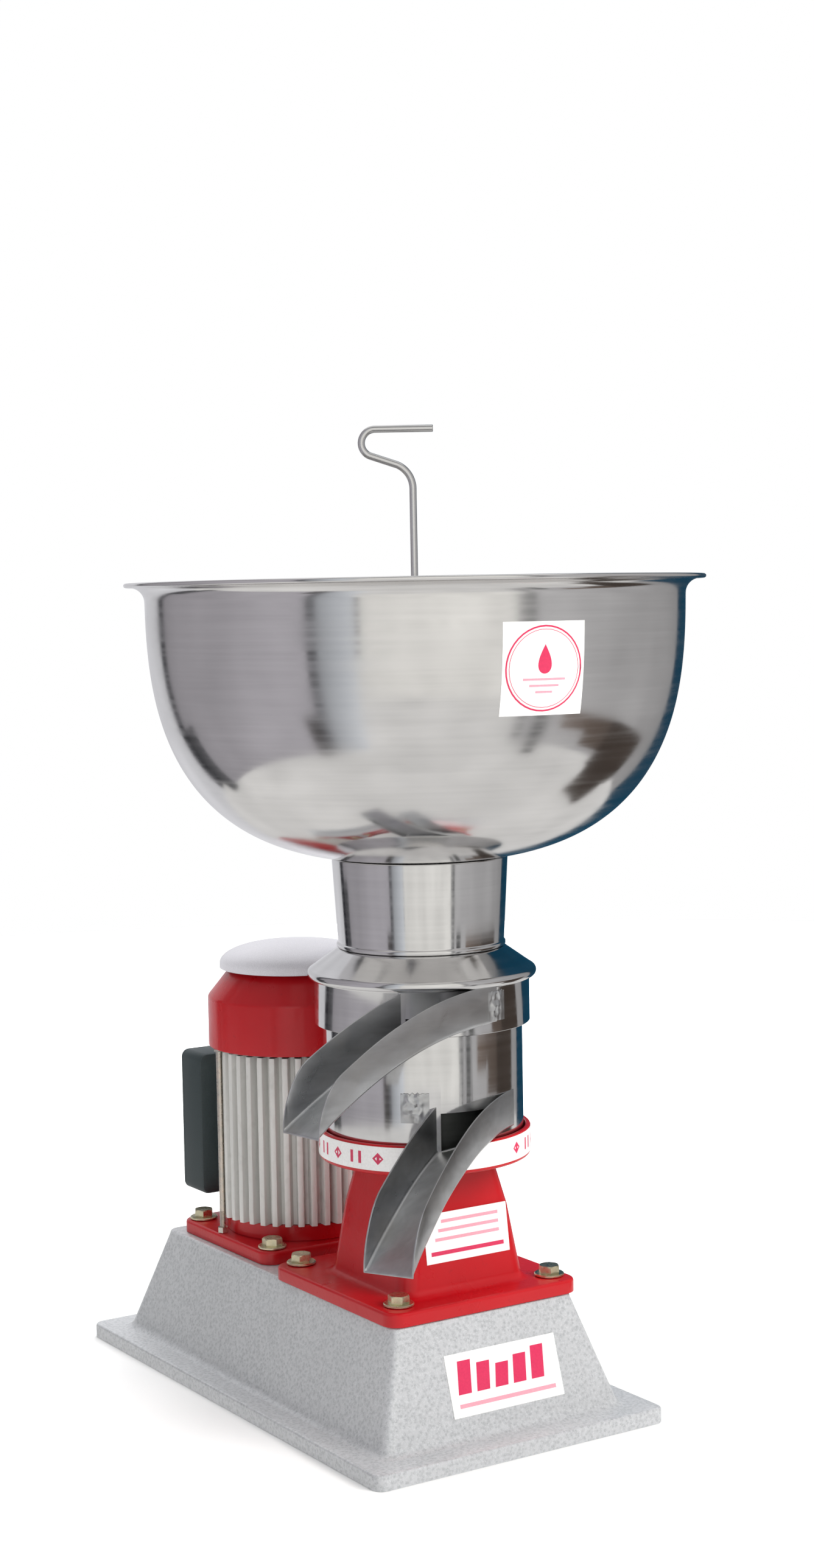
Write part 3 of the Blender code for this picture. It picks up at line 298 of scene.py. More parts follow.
LOOKS = {
    "bowl": metal_sheet("bowl_steel", (0.80, 0.79, 0.78), 0.11, smear=0.08, waves=0.9, anisotropic=0.15),
    "cover": metal_sheet("cover_steel", (0.76, 0.755, 0.75), 0.09, waves=0.5, anisotropic=0.15),
    "rod": metal_sheet("rod_steel", (0.72, 0.715, 0.71), 0.16, ring=150.0, anisotropic=0.0),
    "spout": satin_spout(),
    # near-black painted shade for the shadowed inside of the milk cover, on rough unpolished steel
    "inside": machined("unpolished_inside", (0.09, 0.095, 0.09), 0.45, ring=300.0),
    "red": red_gloss(),
    "silver": hammered_silver(),
    "fins": fin_paint(),
    "zinc": yellow_zinc("yellow_zinc", 0.0),
    "pale_zinc": yellow_zinc("pale_zinc", 0.12),
    "slate": plastic("slate_plastic", (0.030, 0.044, 0.047), 0.42),
    "fan": plastic("fan_plastic", (0.020, 0.020, 0.022), 0.50, grain=600.0),
    "cap": plastic("cap_plastic", (0.66, 0.65, 0.69), 0.34, grain=1500.0, depth=0.05, coat=0.2),
    "can": plastic("can_plastic", (0.62, 0.62, 0.60), 0.40),
    "block": plastic("block_plastic", (0.72, 0.68, 0.55), 0.45),
    "rubber": plastic("seal_rubber", (0.025, 0.025, 0.026), 0.62, grain=300.0, depth=0.4),
    "belt": plastic("belt_rubber", (0.022, 0.021, 0.020), 0.70, grain=1500.0, depth=0.5),
    "steel": machined("ground_steel", (0.50, 0.50, 0.51), 0.26, blotch=(0.30, 0.27, 0.22)),
    "tinned": machined("tinned_steel", (0.68, 0.68, 0.66), 0.22, ring=700.0, anisotropic=0.3),
    "float": machined("float_steel", (0.64, 0.64, 0.64), 0.24, ring=600.0),
    "brass": machined("nut_brass", (0.72, 0.53, 0.25), 0.26, blotch=(0.42, 0.28, 0.12)),
    "iron": machined("housing_iron", (0.20, 0.20, 0.21), 0.55, 0.7, 120.0, blotch=(0.15, 0.10, 0.07)),
    "dark": machined("shield_paint", (0.10, 0.10, 0.10), 0.50, metal=0.3, ring=160.0),
    "stack": machined("stator_stack", (0.26, 0.22, 0.18), 0.50, 0.6, 2500.0, blotch=(0.35, 0.12, 0.05)),
    "alloy": machined("turned_alloy", (0.62, 0.62, 0.63), 0.34, ring=800.0),
    "film": printed("white_film", (0.86, 0.85, 0.84)),
    "ink": printed("red_ink", (0.62, 0.02, 0.09)),
    "pale_ink": printed("pink_ink", (0.80, 0.33, 0.40)),
}


# ---- mesh tools ----------------------------------------------------------------------------------
def arc(cr, cz, radius, start, end, steps):
    """Points on an arc about (cr, cz), between two angles in degrees, ends included."""
    angles = [math.radians(start + (end - start) * i / steps) for i in range(steps + 1)]
    return [(cr + radius * math.cos(a), cz + radius * math.sin(a)) for a in angles]


def circle(radius, z, sides, at=(0.0, 0.0)):
    return [(at[0] + x, at[1] + y, z) for x, y in arc(0, 0, radius, 0, 360 - 360 / sides, sides - 1)]


def hexagon(across, z, count, limit=1.0):
    """A hexagon of count points, with its corners cut at a share of their radius."""
    loop = []
    for x, y, _ in circle(1.0, z, count):
        side = math.radians(math.degrees(math.atan2(y, x)) % 60 - 30)
        reach = min(across * math.cos(math.radians(30)) / math.cos(side), across * limit)
        loop.append((x * reach, y * reach, z))
    return loop


def rounded_rectangle(half_x, half_y, z, corner, steps=8):
    points = []
    for sx, sy, start in ((1, 1, 0), (-1, 1, 90), (-1, -1, 180), (1, -1, 270)):
        middle = sx * (half_x - corner), sy * (half_y - corner)
        points += [(x, y, z) for x, y in arc(*middle, corner, start, start + 90, steps)]
    return points


def filleted(outline, steps=5):
    """A closed outline of (x, y, radius) corners, with each corner that has a radius turned into an arc."""
    points = []
    for i, (x, y, radius) in enumerate(outline):
        here = Vector((x, y))
        if radius <= 0:
            points.append((x, y))
            continue
        back = Vector(outline[i - 1][:2]) - here
        ahead = Vector(outline[(i + 1) % len(outline)][:2]) - here
        half = back.angle(ahead) / 2
        reach = min(radius / math.tan(half), 0.49 * back.length, 0.49 * ahead.length)
        centre = here + (back.normalized() + ahead.normalized()).normalized() * reach / math.cos(half)
        first, last = here + back.normalized() * reach - centre, here + ahead.normalized() * reach - centre
        start, size = math.atan2(first.y, first.x), first.length
        turn = (math.atan2(last.y, last.x) - start + math.pi) % math.tau - math.pi
        for k in range(steps + 1):
            angle = start + turn * k / steps
            points.append((centre.x + size * math.cos(angle), centre.y + size * math.sin(angle)))
    return points


def sheet(points, thickness):
    """The closed outline of a sheet of even thickness, whose one face is the open line of (r, z) points."""
    line = [Vector(p) for p in points]
    other = []
    for i, point in enumerate(line):
        before = (point - line[i - 1]).normalized() if i else None
        after = (line[i + 1] - point).normalized() if i + 1 < len(line) else None
        before, after = before or after, after or before
        along = (before + after).normalized()
        other.append(point + Vector((-along.y, along.x)) * thickness / max(0.5, along.dot(after)))
    return [tuple(p) for p in line + other[::-1]]


def smooth(mesh, angle=32):
    mesh.shade_smooth()
    mesh.set_sharp_from_angle(angle=math.radians(angle))


def link(name, data, at=(0, 0, 0)):
    """An object with the data given, in the scene."""
    made = bpy.data.objects.new(name, data)
    made.location = at
    bpy.context.scene.collection.objects.link(made)
    return made


def add_mesh(name, maker, look, at=(0, 0, 0), clean=1e-6):
    """Turns a filled bmesh into an object with outward normals, smooth shading and the look named."""
    bmesh.ops.remove_doubles(maker, verts=maker.verts, dist=clean)
    bmesh.ops.recalc_face_normals(maker, faces=maker.faces)
    mesh = bpy.data.meshes.new(name)
    maker.to_mesh(mesh)
    maker.free()
    smooth(mesh)
    mesh.materials.append(LOOKS[look])
    return link(name, mesh, at)


def turned(name, profile, look, at=COLUMN, sides=SIDES):
    """A solid of revolution from a closed outline of (radius, height) points."""
    maker = bmesh.new()
    verts = [maker.verts.new((max(r, 0.0), 0.0, z)) for r, z in profile]
    edges = [maker.edges.new(pair) for pair in zip(verts, verts[1:] + verts[:1])]
    bmesh.ops.spin(maker, geom=verts + edges, axis=(0, 0, 1), cent=(0, 0, 0),
                   angle=math.tau, steps=sides, use_merge=True)
    return add_mesh(name, maker, look, at)


def skin(name, loops, look, at=(0, 0, 0), ring=False):
    """A surface over a row of equal loops of points, capped at both ends, or closed on itself as a ring."""
    maker = bmesh.new()
    rows = [[maker.verts.new(point) for point in loop] for loop in loops]
    pairs = list(zip(rows, rows[1:]))
    if ring:
        pairs.append((rows[-1], rows[0]))
    for low, high in pairs:
        for i in range(len(low)):
            j = (i + 1) % len(low)
            maker.faces.new((low[i], low[j], high[j], high[i]))
    if not ring:
        maker.faces.new(rows[0][::-1])
        maker.faces.new(rows[-1])
    return add_mesh(name, maker, look, at)


def repeated(name, mesh, loops, look, at):
    """One of several equal pieces: the first is a skin over the loops, and the others share its mesh."""
    return link(name, mesh, at) if mesh else skin(name, loops, look, at)


def close_grid(maker, grid, wide, tall):
    """Faces over both sides and round the rim of a film, given as grid[side, i, j] vertices."""
    for side in (0, 1):
        for i in range(wide):
            for j in range(tall):
                corners = (i, j), (i + 1, j), (i + 1, j + 1), (i, j + 1)
                maker.faces.new([grid[side, a, b] for a, b in corners])
    rim = [(i, 0) for i in range(wide)] + [(wide, j) for j in range(tall)]
    rim += [(i, tall) for i in range(wide, 0, -1)] + [(0, j) for j in range(tall, 0, -1)]
    for one, two in zip(rim, rim[1:] + rim[:1]):
        if (grid[0, *one].co - grid[0, *two].co).length > 1e-7:
            maker.faces.new([grid[0, *one], grid[0, *two], grid[1, *two], grid[1, *one]])


def combine(target, unions=(), cuts=()):
    """Applies the unions and then the cuts, and removes the tools."""
    for other in (*unions, *cuts):
        modifier = target.modifiers.new(other.name, "BOOLEAN")
        modifier.operation = "UNION" if other in unions else "DIFFERENCE"
        modifier.object = other
    bpy.context.view_layer.update()
    graph = bpy.context.evaluated_depsgraph_get()
    mesh = bpy.data.meshes.new_from_object(target.evaluated_get(graph))
    target.modifiers.clear()
    target.data = mesh
    smooth(mesh)
    for other in (*unions, *cuts):
        bpy.data.objects.remove(other, do_unlink=True)
    return target


def piece(made, body, slot, *nodes):
    """Says which body the piece rides on and which nodes it stands for; the slot is not used."""
    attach(made, body)
    if nodes:
        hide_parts(*nodes)
    return made


def roughen(made, size, scale, seed=0.0, keep=lambda point: True):
    """Moves the vertices by a smooth noise of the size given, in metres."""
    for vertex in made.data.vertices:
        if keep(vertex.co):
            vertex.co += noise.noise_vector(vertex.co * scale + Vector((seed, 0, 0))) * size


# ---- base and castings ---------------------------------------------------------------------------
def cylinder(name, radius, low, high, at, look="steel"):
    return skin(name, [circle(radius, z, 64) for z in (low, high)], look, at)


def make_base():
    """Foot plate with a rounded edge, a cove, sloping sides and a rounded top edge; hollow from below."""
    edge, cove, brow, rough = 0.0020, 0.0055, 0.0026, 0.00012
    rim = FOOT_HALF - Vector((rough, rough))
    at = Vector((0.0, FOOT_Y, 0.0))

    def slope(z):
        share = (z - FOOT_Z) / (BOX_TOP_Z - FOOT_Z)
        return BOX_FOOT_HALF + (BOX_TOP_HALF - BOX_FOOT_HALF) * share

    rows = [(rim, 0.0, 0.008)]
    for x, z in arc(-edge, FOOT_Z - edge, edge, 0, 90, 5):
        rows.append((rim + Vector((x, x)), z, 0.008 + x))
    for x, z in arc(cove, FOOT_Z + cove, cove, 270, 180, 7):
        rows.append((slope(z) + Vector((x, x)), z, 0.009 + x))
    for x, z in arc(-brow, BOX_TOP_Z - brow, brow, 0, 90, 6):
        rows.append((slope(BOX_TOP_Z - brow) + Vector((x, x)), z, 0.0075 + x))
    loops = [rounded_rectangle(half.x, half.y, z, corner, 10) for half, z, corner in rows]
    base = skin("base_shell", loops, "silver", at)
    wall = Vector((CAST_WALL, CAST_WALL))
    inside = ((BOX_FOOT_HALF - wall, -0.002), (BOX_FOOT_HALF - wall, FOOT_Z),
              (BOX_TOP_HALF - wall, BOX_TOP_Z - CAST_WALL))
    hollow = [rounded_rectangle(half.x, half.y, z, 0.005) for half, z in inside]
    hollow = skin("base_hollow", hollow, "silver", at)
    ways = [cylinder(name, radius, BOX_TOP_Z - 0.012, BOX_TOP_Z + 0.004, place)
            for name, radius, place in (("spindle_way", 0.030, COLUMN), ("shaft_way", 0.024, MOTOR))]
    combine(base, cuts=(hollow, *ways))
    roughen(base, rough, 60.0, keep=lambda p: 0.001 < p.z < BOX_TOP_Z - 0.001)
    piece(base, "base", "silver_paint", "base_casting")


def plate_skin(name, low, high):
    """A bolted plate with rounded corners and a rounded upper edge."""
    half, brow, corner = (high - low) / 2, 0.0022, 0.012
    rows = [(0.0, PLATE_Z)] + arc(-brow, PLATE_TOP - brow, brow, 0, 90, 6)
    loops = [rounded_rectangle(half.x + x, half.y + x, z, corner + x, 10) for x, z in rows]
    return skin(name, loops, "red", ((low.x + high.x) / 2, (low.y + high.y) / 2, 0.0))


def make_plates_and_body():
    motor_plate = plate_skin("motor_plate_shell", PLATE_LOW, PLATE_HIGH)
    way = cylinder("plate_way", 0.022, PLATE_Z - 0.003, PLATE_TOP + 0.003, MOTOR)
    combine(motor_plate, cuts=(way,))
    piece(motor_plate, "base", "red_paint", "motor_plate")

    rise = PAN_BOTTOM - PLATE_TOP
    rows = [(0.0065, -0.003, 0.018)]
    rows += [(x, z, 0.012 + x) for x, z in arc(0.0065, 0.0065, 0.0065, 270, 180, 8)]
    rows += [(0.0, z, 0.012) for z in (0.3 * rise, 0.6 * rise)]
    rows += [(0.003 - x, rise - 0.003 + z, 0.010) for x, z in arc(0.003, 0.0, 0.003, 0, 90, 5)]
    loops = []
    for wider, up, corner in rows:
        half = COLUMN_FOOT + (COLUMN_TOP - COLUMN_FOOT) * min(max(up, 0.0) / rise, 1.0) + wider
        loops.append(rounded_rectangle(half, half, PLATE_TOP + up, corner, 10))
    column = skin("column_skin", loops, "red", COLUMN)
    pan = turned("pan_skin", filleted([
        (0.0, PAN_BOTTOM - 0.0005, 0), (PAN_R, PAN_BOTTOM, 0.0022), (PAN_R, PAN_LIP, 0.0012),
        (PAN_R - PAN_WALL, PAN_LIP, 0.0012), (PAN_R - PAN_WALL, PAN_FLOOR, 0.002),
        (0.0, PAN_FLOOR, 0)], 5), "red")
    inner_foot, inner_top = COLUMN_FOOT - 0.007, COLUMN_TOP - 0.007
    hollow = skin("column_hollow", [rounded_rectangle(inner_foot, inner_foot, PLATE_Z - 0.002, 0.008),
                                    rounded_rectangle(inner_top, inner_top, PAN_BOTTOM - 0.010, 0.006)],
                  "red", COLUMN)
    bore = cylinder("housing_bore", 0.0208, PAN_BOTTOM - 0.015, PAN_FLOOR + 0.003, COLUMN)
    notch = spout_notch("spout_notch", "red")
    corners = Vector((BODY_LOW.x, BODY_PLATE_FRONT, PLATE_Z)), Vector((BODY_HIGH.x, BODY_HIGH.y, PLATE_TOP))
    body = plate_skin("body_shell", *corners)
    combine(body, (column, pan), (hollow, bore, notch))
    roughen(body, 0.00010, 70.0, 3.0)
    piece(body, "base", "red_paint", "body_casting")


def make_bolts():
    """Hex bolts with a chamfered head and a washer, all from one mesh."""
    low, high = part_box("body_bolt_1")
    seat, head, crown = PLATE_TOP + GAP, PLATE_TOP + GAP + 0.0018, high.z
    across = 0.0075
    loops = [circle(r, z, 48) for r, z in (
        (0.004, low.z), (0.004, seat), (0.0100, seat), (0.0105, seat + 0.0004), (0.0105, head - 0.0005),
        (0.0100, head), (0.0071, head))]
    loops += [hexagon(across, z, 48, limit) for z, limit in (
        (head + 0.0001, 1.0), (crown - 0.0012, 1.0), (crown - 0.0005, 0.965), (crown - 0.0001, 0.90),
        (crown, 0.80), (crown - 0.0004, 0.45))]
    names = [f"{row}_bolt_{number}" for row in ("body", "motor_plate") for number in range(1, 5)]
    mesh = None
    for count, node in enumerate(names):
        at = sum(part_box(node), Vector()) / 2
        made = repeated(node + "_head", mesh, loops, "zinc", Vector((at.x, at.y, 0.0)))
        mesh = made.data
        made.rotation_euler.z = math.radians(17 + 47 * count % 60)
        piece(made, "base", "zinc", node)


# ---- covers and spouts ---------------------------------------------------------------------------
def along_spout(aim, floor_z, drop, runs, sections):
    """Loops across a trough: each section holds (sideways, up) pairs measured from its falling floor."""
    along = Vector((math.cos(math.radians(aim)), math.sin(math.radians(aim))))
    aside = Vector((-along.y, along.x))
    return [[(*(along * run + aside * side), floor_z - drop * run ** 2 + up) for side, up in section]
            for run, section in zip(runs, sections)]


def spout_notch(name, look):
    """The passage that the milk spout takes through the pan's rim."""
    near, far, low, high = MILK_R + 0.002, MILK_R - SPOUT_WIDE - 0.003, -0.0022, 0.030
    section = [(far, low), (near, low), (near, high), (far, high)]
    runs = [0.005 * i for i in range(17)]
    return skin(name, along_spout(MILK_AIM, MILK_FLOOR, MILK_DROP, runs, [section] * len(runs)), look, COLUMN)


def make_spout(name, aim, drum_r, floor_z, drop, reach, seed):
    """An open trough of bent sheet with rounded inner corners, hand-planished so that it isn't quite even."""
    near = drum_r + 0.0005
    close_to_nose = [reach - SPOUT_NOSE * k for k in (0.003, 0.012, 0.03, 0.06, 0.1, 0.16)]
    runs = sorted([reach * i / 40 for i in range(41)] + close_to_nose)
    sections = []
    for run in runs:
        left = reach - run
        far = near - SPOUT_WIDE - SPOUT_FLARE * (run / reach) ** 2
        nose = math.sqrt(max(0.0, 1 - (1 - left / SPOUT_NOSE) ** 2)) if left < SPOUT_NOSE else 1.0
        tall, short = (SHEET * 1.4 + nose * wall for wall in (SPOUT_FAR_WALL, SPOUT_NEAR_WALL))
        bend, lip = min(0.0032, 0.4 * short), 0.00035
        sections.append(filleted([
            (far, -SHEET, bend), (near, -SHEET, bend), (near, short, lip), (near - SHEET, short, lip),
            (near - SHEET, 0.0, bend * 0.7), (far + SHEET, 0.0, bend * 0.7), (far + SHEET, tall, lip),
            (far, tall, lip)], 4))
    trough = skin(name, along_spout(aim, floor_z, drop, runs, sections), "spout", COLUMN)
    inside = cylinder(name + "_trim", drum_r - 0.0006, 0.10, 0.40, COLUMN)
    combine(trough, cuts=(inside,))
    along = Vector((math.cos(math.radians(aim)), math.sin(math.radians(aim)), 0.0))
    roughen(trough, 0.00025, 30.0, seed, keep=lambda p: drum_r < p.xy.length and p.dot(along) < reach - 0.004)
    return trough


def wall_opening(name, aim, drum_r, floor_z, drop, high):
    """The sector cut out of a cover's wall behind its spout, from the trough's floor up."""
    sides = drum_r - SPOUT_WIDE + 0.003, drum_r - 0.006
    spread = [math.degrees(math.asin(side / drum_r)) for side in sides]
    inner, outer = drum_r - 0.002, drum_r + 0.0015
    loops = []
    for i in range(25):
        off = spread[0] + (spread[1] - spread[0]) * i / 24
        turn = math.radians(aim + off)
        low = floor_z + 0.0006 - drop * (drum_r * math.cos(math.radians(off))) ** 2
        corners = (inner, low), (outer, low), (outer, high), (inner, high)
        loops.append([(r * math.cos(turn), r * math.sin(turn), z) for r, z in corners])
    return skin(name, loops, "cover", COLUMN)


def crumpled_tab(name, drum_r, middle, half_angle, low, high, seed):
    """A corner of the spout's sheet hammered flat against the wall and welded there."""
    maker, across, up = bmesh.new(), 22, 18
    grid = {}
    for face, lift in enumerate((0.0006, 0.0018)):
        for i in range(across + 1):
            for j in range(up + 1):
                turn = math.radians(middle + half_angle * (2 * i / across - 1))
                z = low + (high - low) * j / up
                bulge = math.sin(math.pi * i / across) * math.sin(math.pi * j / up) ** 0.5
                crease = noise.noise(Vector((i * 0.24, j * 0.27, seed))) * 0.0022 * bulge if face else 0.0
                r = drum_r + lift * (0.6 + 0.4 * bulge) + max(crease, -0.0006)
                ragged = noise.noise(Vector((i * 0.5, seed, 2.0))) * 0.0012 * (j / up)
                grid[face, i, j] = maker.verts.new((r * math.cos(turn), r * math.sin(turn), z + ragged))
    close_grid(maker, grid, across, up)
    return add_mesh(name, maker, "spout", COLUMN)


def make_milk_cover():
    wall, shroud = MILK_R - SHEET, 0.0600
    cover = turned("milk_cover_wall", filleted([
        (wall, MILK_BOTTOM, 0.0004), (MILK_R, MILK_BOTTOM, 0.0004), (MILK_R, MILK_TOP, 0.0004),
        (wall, MILK_TOP, 0.0004), (wall, MILK_GUTTER, 0), (shroud + SHEET, MILK_GUTTER, 0),
        (shroud + SHEET, 0.2590, 0.004), (0.0250, 0.2745, 0.002), (0.0250, 0.2790, 0.0004),
        (0.0240, 0.2790, 0.0004), (0.0240, 0.2738, 0.0028), (shroud, 0.2583, 0.0032),
        (shroud, MILK_GUTTER - SHEET, 0), (wall, MILK_GUTTER - SHEET, 0)], 4), "cover")
    opening = wall_opening("milk_way", MILK_AIM, MILK_R, MILK_FLOOR, MILK_DROP, MILK_FLOOR + 0.017)
    combine(cover, cuts=(opening,))
    # faces inside the wall and below the shroud's top get near-black painted shade, where the inside of the
    # cover lies in shadow
    cover.data.materials.append(LOOKS["inside"])
    for face in cover.data.polygons:
        if face.center.xy.length < MILK_R - 1.2 * SHEET and face.center.z < 0.262:
            face.material_index = 1
    piece(cover, "lower_cover", "stainless", "milk_cover")
    spout = make_spout("milk_spout", MILK_AIM, MILK_R, MILK_FLOOR, MILK_DROP, MILK_REACH, 5.0)
    piece(spout, "lower_cover", "stainless")
    tab = crumpled_tab("milk_spout_tab", MILK_R, 232.0, 8.0, 0.2200, 0.2400, 1.0)
    piece(tab, "lower_cover", "stainless")


def make_cream_cover():
    wall, bead_centre = CREAM_R - SHEET, BEAD_R - BEAD_WIRE
    bead = arc(bead_centre, BEAD_Z, BEAD_WIRE, -100, 70, 20)
    cone = [(CONE_TOP_R + 0.006, CONE_TOP_Z - 0.0036), (CONE_TOP_R + 0.001, CONE_TOP_Z)]
    cover = turned("cream_cover_wall", [
        (wall, CREAM_BOTTOM), (CREAM_R - 0.0003, CREAM_BOTTOM), (CREAM_R, CREAM_BOTTOM + 0.0003),
        (CREAM_R, BEAD_Z - 0.0045), (CREAM_R + 0.0002, BEAD_Z - 0.0040), *bead, *cone,
        (0.0460, CONE_TOP_Z), (0.0460, CONE_TOP_Z - SHEET),
        (CONE_TOP_R, CONE_TOP_Z - SHEET), (wall, BEAD_Z + 0.0015), (wall, CREAM_FLOOR), (0.0262, CREAM_FLOOR),
        (0.0262, 0.2930), (0.0252, 0.2930), (0.0252, CREAM_FLOOR - SHEET),
        (wall, CREAM_FLOOR - SHEET)], "cover")
    opening = wall_opening("cream_way", CREAM_AIM, CREAM_R, CREAM_FLOOR, 0.0, CREAM_FLOOR + 0.0065)
    combine(cover, cuts=(opening,))
    piece(cover, "upper_cover", "stainless", "cream_cover")
    spout = make_spout("cream_spout", CREAM_AIM, CREAM_R, CREAM_FLOOR, CREAM_DROP, CREAM_REACH, 9.0)
    piece(spout, "upper_cover", "stainless")
    tab = crumpled_tab("cream_spout_tab", CREAM_R, 278.5, 5.5, 0.2868, 0.3068, 7.0)
    piece(tab, "upper_cover", "stainless")


def make_neck():
    foot = NECK_Z + SHEET
    outline = [(0.0048, 0.3085, 0), (0.0060, 0.3085, 0), (0.0060, NECK_Z - 0.0015, 0.001),
               (NECK_FOOT_R + 0.0012, NECK_Z - 0.0015, 0.0013),
               (NECK_FOOT_R + 0.0011, NECK_Z + 0.0013, 0.0009),
               (NECK_FOOT_R + 0.0001, NECK_Z + 0.0022, 0.0010), (NECK_R, NECK_TOP, 0.0010),
               (SEAT_R, SEAT_Z, 0.001), (SEAT_INNER_R, SEAT_Z, 0), (SEAT_INNER_R, SEAT_Z - SHEET, 0),
               (SEAT_R, SEAT_Z - SHEET, 0), (NECK_R - SHEET, NECK_TOP - 0.0014, 0.001),
               (NECK_FOOT_R - SHEET, foot, 0.001), (0.0048, foot, 0)]
    piece(turned("neck_shell", filleted(outline, 4), "cover"), "neck", "stainless", "float_chamber")


# ---- supply bowl and tap -------------------------------------------------------------------------
def bowl_radius(z):
    """Radius of the bowl's outside at a height."""
    depth = min(1.0, max(0.0, (RIM_Z - z) / BOWL_DEPTH))
    return BOWL_R * (1 - depth ** BOWL_POWER) ** (1 / BOWL_POWER)


def make_bowl():
    steps = 60
    line = [(0.0132, BOWL_LOW.z)]
    for i in range(1, steps):
        turn = math.radians(90 - 90 * i / steps)
        radius = BOWL_R * math.cos(turn) ** (2 / BOWL_POWER)
        if radius > 0.016:
            line.append((radius, RIM_Z - BOWL_DEPTH * math.sin(turn) ** (2 / BOWL_POWER)))
    turn_z = RIM_Z - 0.003 - RIM_COVE
    line = [point for point in line if point[1] < turn_z - 0.001]
    line += arc(BOWL_R + RIM_COVE, turn_z, RIM_COVE, 180, 90, 10)
    wall = sheet(line, BOWL_SHEET)
    half = len(wall) // 2
    curl = 0.0015
    edge = arc(RIM_R - curl, RIM_Z - curl, curl, -90, 110, 10)
    bowl = turned("supply_bowl_shell", wall[:half] + edge + wall[half:], "bowl", sides=224)
    piece(bowl, "bowl", "stainless", "supply_bowl")


def make_tap():
    """The tap rod: plug, straight stem, S-bend and the cross bar."""
    low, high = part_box("tap_rod")
    rod, top = 0.0025, high.z - 0.0025
    turn_r, loop_r, loop_at, bar_end, bend_z, aim = 0.018, 0.0095, -0.0255, 0.0145, top - 0.041, -33.0
    plug = [(low.z, 0.0052), (low.z + 0.0085, 0.0100), (low.z + 0.0092, 0.0102), (low.z + 0.0115, 0.0102),
            (low.z + 0.0120, 0.0098), (low.z + 0.0125, 0.0040), (low.z + 0.0140, rod)]
    path = [(0.0, z) for z, _ in plug] + [(0.0, low.z + 0.02 + 0.02 * i) for i in range(12)]
    path += arc(-turn_r, bend_z, turn_r, 0, 65, 16)
    path += arc(loop_at, top - loop_r, loop_r, 245, 90, 30)
    path += [(bar_end * k, top) for k in (-0.6, 0.2, 0.97, 1.0)]
    radii = [r for _, r in plug] + [rod] * (len(path) - len(plug) - 1) + [rod * 0.85]
    across = Vector((math.cos(math.radians(aim)), math.sin(math.radians(aim)), 0.0))
    up = Vector((0.0, 0.0, 1.0))
    out = across.cross(up)
    loops = []
    for i, (side, z) in enumerate(path):
        before, after = path[max(i - 1, 0)], path[min(i + 1, len(path) - 1)]
        ahead = (across * (after[0] - before[0]) + up * (after[1] - before[1])).normalized()
        level = ahead.cross(out)
        at = across * side + up * z
        loops.append([at + (out * a + level * b) * radii[i] for a, b in arc(0, 0, 1.0, 0, 345, 23)])
    piece(skin("tap_handle", loops, "rod", COLUMN), "tap", "stainless", "tap_rod")


# ---- motor ---------------------------------------------------------------------------------------
def make_barrel():
    """Straight cooling fins with rounded tips and roots round the barrel."""
    pitch = 360 / FIN_COUNT
    outline = []
    for fin in range(FIN_COUNT):
        middle = TIE_ROD_TURN + (fin + 0.5) * pitch
        for radius, offset in ((FIN_ROOT, -0.34), (FIN_TIP - 0.0010, -0.235), (FIN_TIP - 0.0003, -0.20),
                               (FIN_TIP, -0.13), (FIN_TIP, 0.13), (FIN_TIP - 0.0003, 0.20),
                               (FIN_TIP - 0.0010, 0.235), (FIN_ROOT, 0.34)):
            turn = math.radians(middle + offset * pitch)
            outline.append((radius * math.cos(turn), radius * math.sin(turn)))
    start = math.atan2(outline[0][1], outline[0][0])
    turns = [start + math.tau * i / len(outline) for i in range(len(outline))]
    low, high = BARREL_LOW.z, BARREL_HIGH.z
    loops = []
    for i in range(25):
        z = low + (high - low) * i / 24
        end = 0.996 if i in (0, 24) else 1.0
        loops.append([(x * end, y * end, z) for x, y in outline])
    loops += [[(BARREL_BORE * math.cos(t), BARREL_BORE * math.sin(t), z) for t in turns] for z in (high, low)]
    barrel = skin("motor_barrel_shell", loops, "fins", MOTOR, ring=True)
    roughen(barrel, 0.00012, 120.0, 2.0, keep=lambda p: p.xy.length > FIN_ROOT - 0.0005)
    piece(barrel, "base", "aluminium", "motor_barrel")


def make_cowl():
    wall, low, high = 0.0015, COWL_LOW.z, COWL_HIGH.z
    shoulder, top_r = high - 0.0210, 0.0500
    outline = [(COWL_R - wall, low, 0), (COWL_R, low, 0.0005), (COWL_R, shoulder, 0.0045),
               (top_r, high, 0.0035), (0.0, high, 0), (0.0, high - wall, 0),
               (top_r - 0.001, high - wall, 0.002),
               (COWL_R - wall, shoulder, 0.003)]
    cowl = turned("fan_cowl_shell", filleted(outline, 6), "red", MOTOR)
    slots = []
    for number in range(8):
        turn = math.radians(45 * number + 15)
        corners = filleted([(0.018, -0.0022, 0.001), (0.044, -0.0040, 0.002), (0.044, 0.0040, 0.002),
                            (0.018, 0.0022, 0.001)], 4)
        rows = [[(x * math.cos(turn) - y * math.sin(turn), x * math.sin(turn) + y * math.cos(turn), z)
                 for x, y in corners] for z in (high - 0.004, high + 0.002)]
        slots.append(skin(f"inlet_slot_{number + 1}", rows, "red", MOTOR))
    combine(cowl, cuts=slots)
    piece(cowl, "base", "red_paint", "fan_cowl")

    radius, base, top = DRIP_HIGH.x, DRIP_LOW.z + 0.0035, DRIP_HIGH.z
    foot_z = high + GAP
    dome = [(radius * math.cos(a) ** 0.8, base + (top - base - 0.0001) * math.sin(a))
            for a in (math.radians(90 * i / 20) for i in range(20))]
    shell = sheet([(radius, DRIP_LOW.z)] + dome, 0.0012)
    half = len(shell) // 2
    post = [(0.0, top - 0.0001), (0.0, foot_z), (0.009, foot_z), (0.0075, top - 0.0030)]
    cap = turned("drip_cap", shell[:half] + post + shell[half:], "cap", MOTOR)
    piece(cap, "base", "white_cap", "drip_cover")


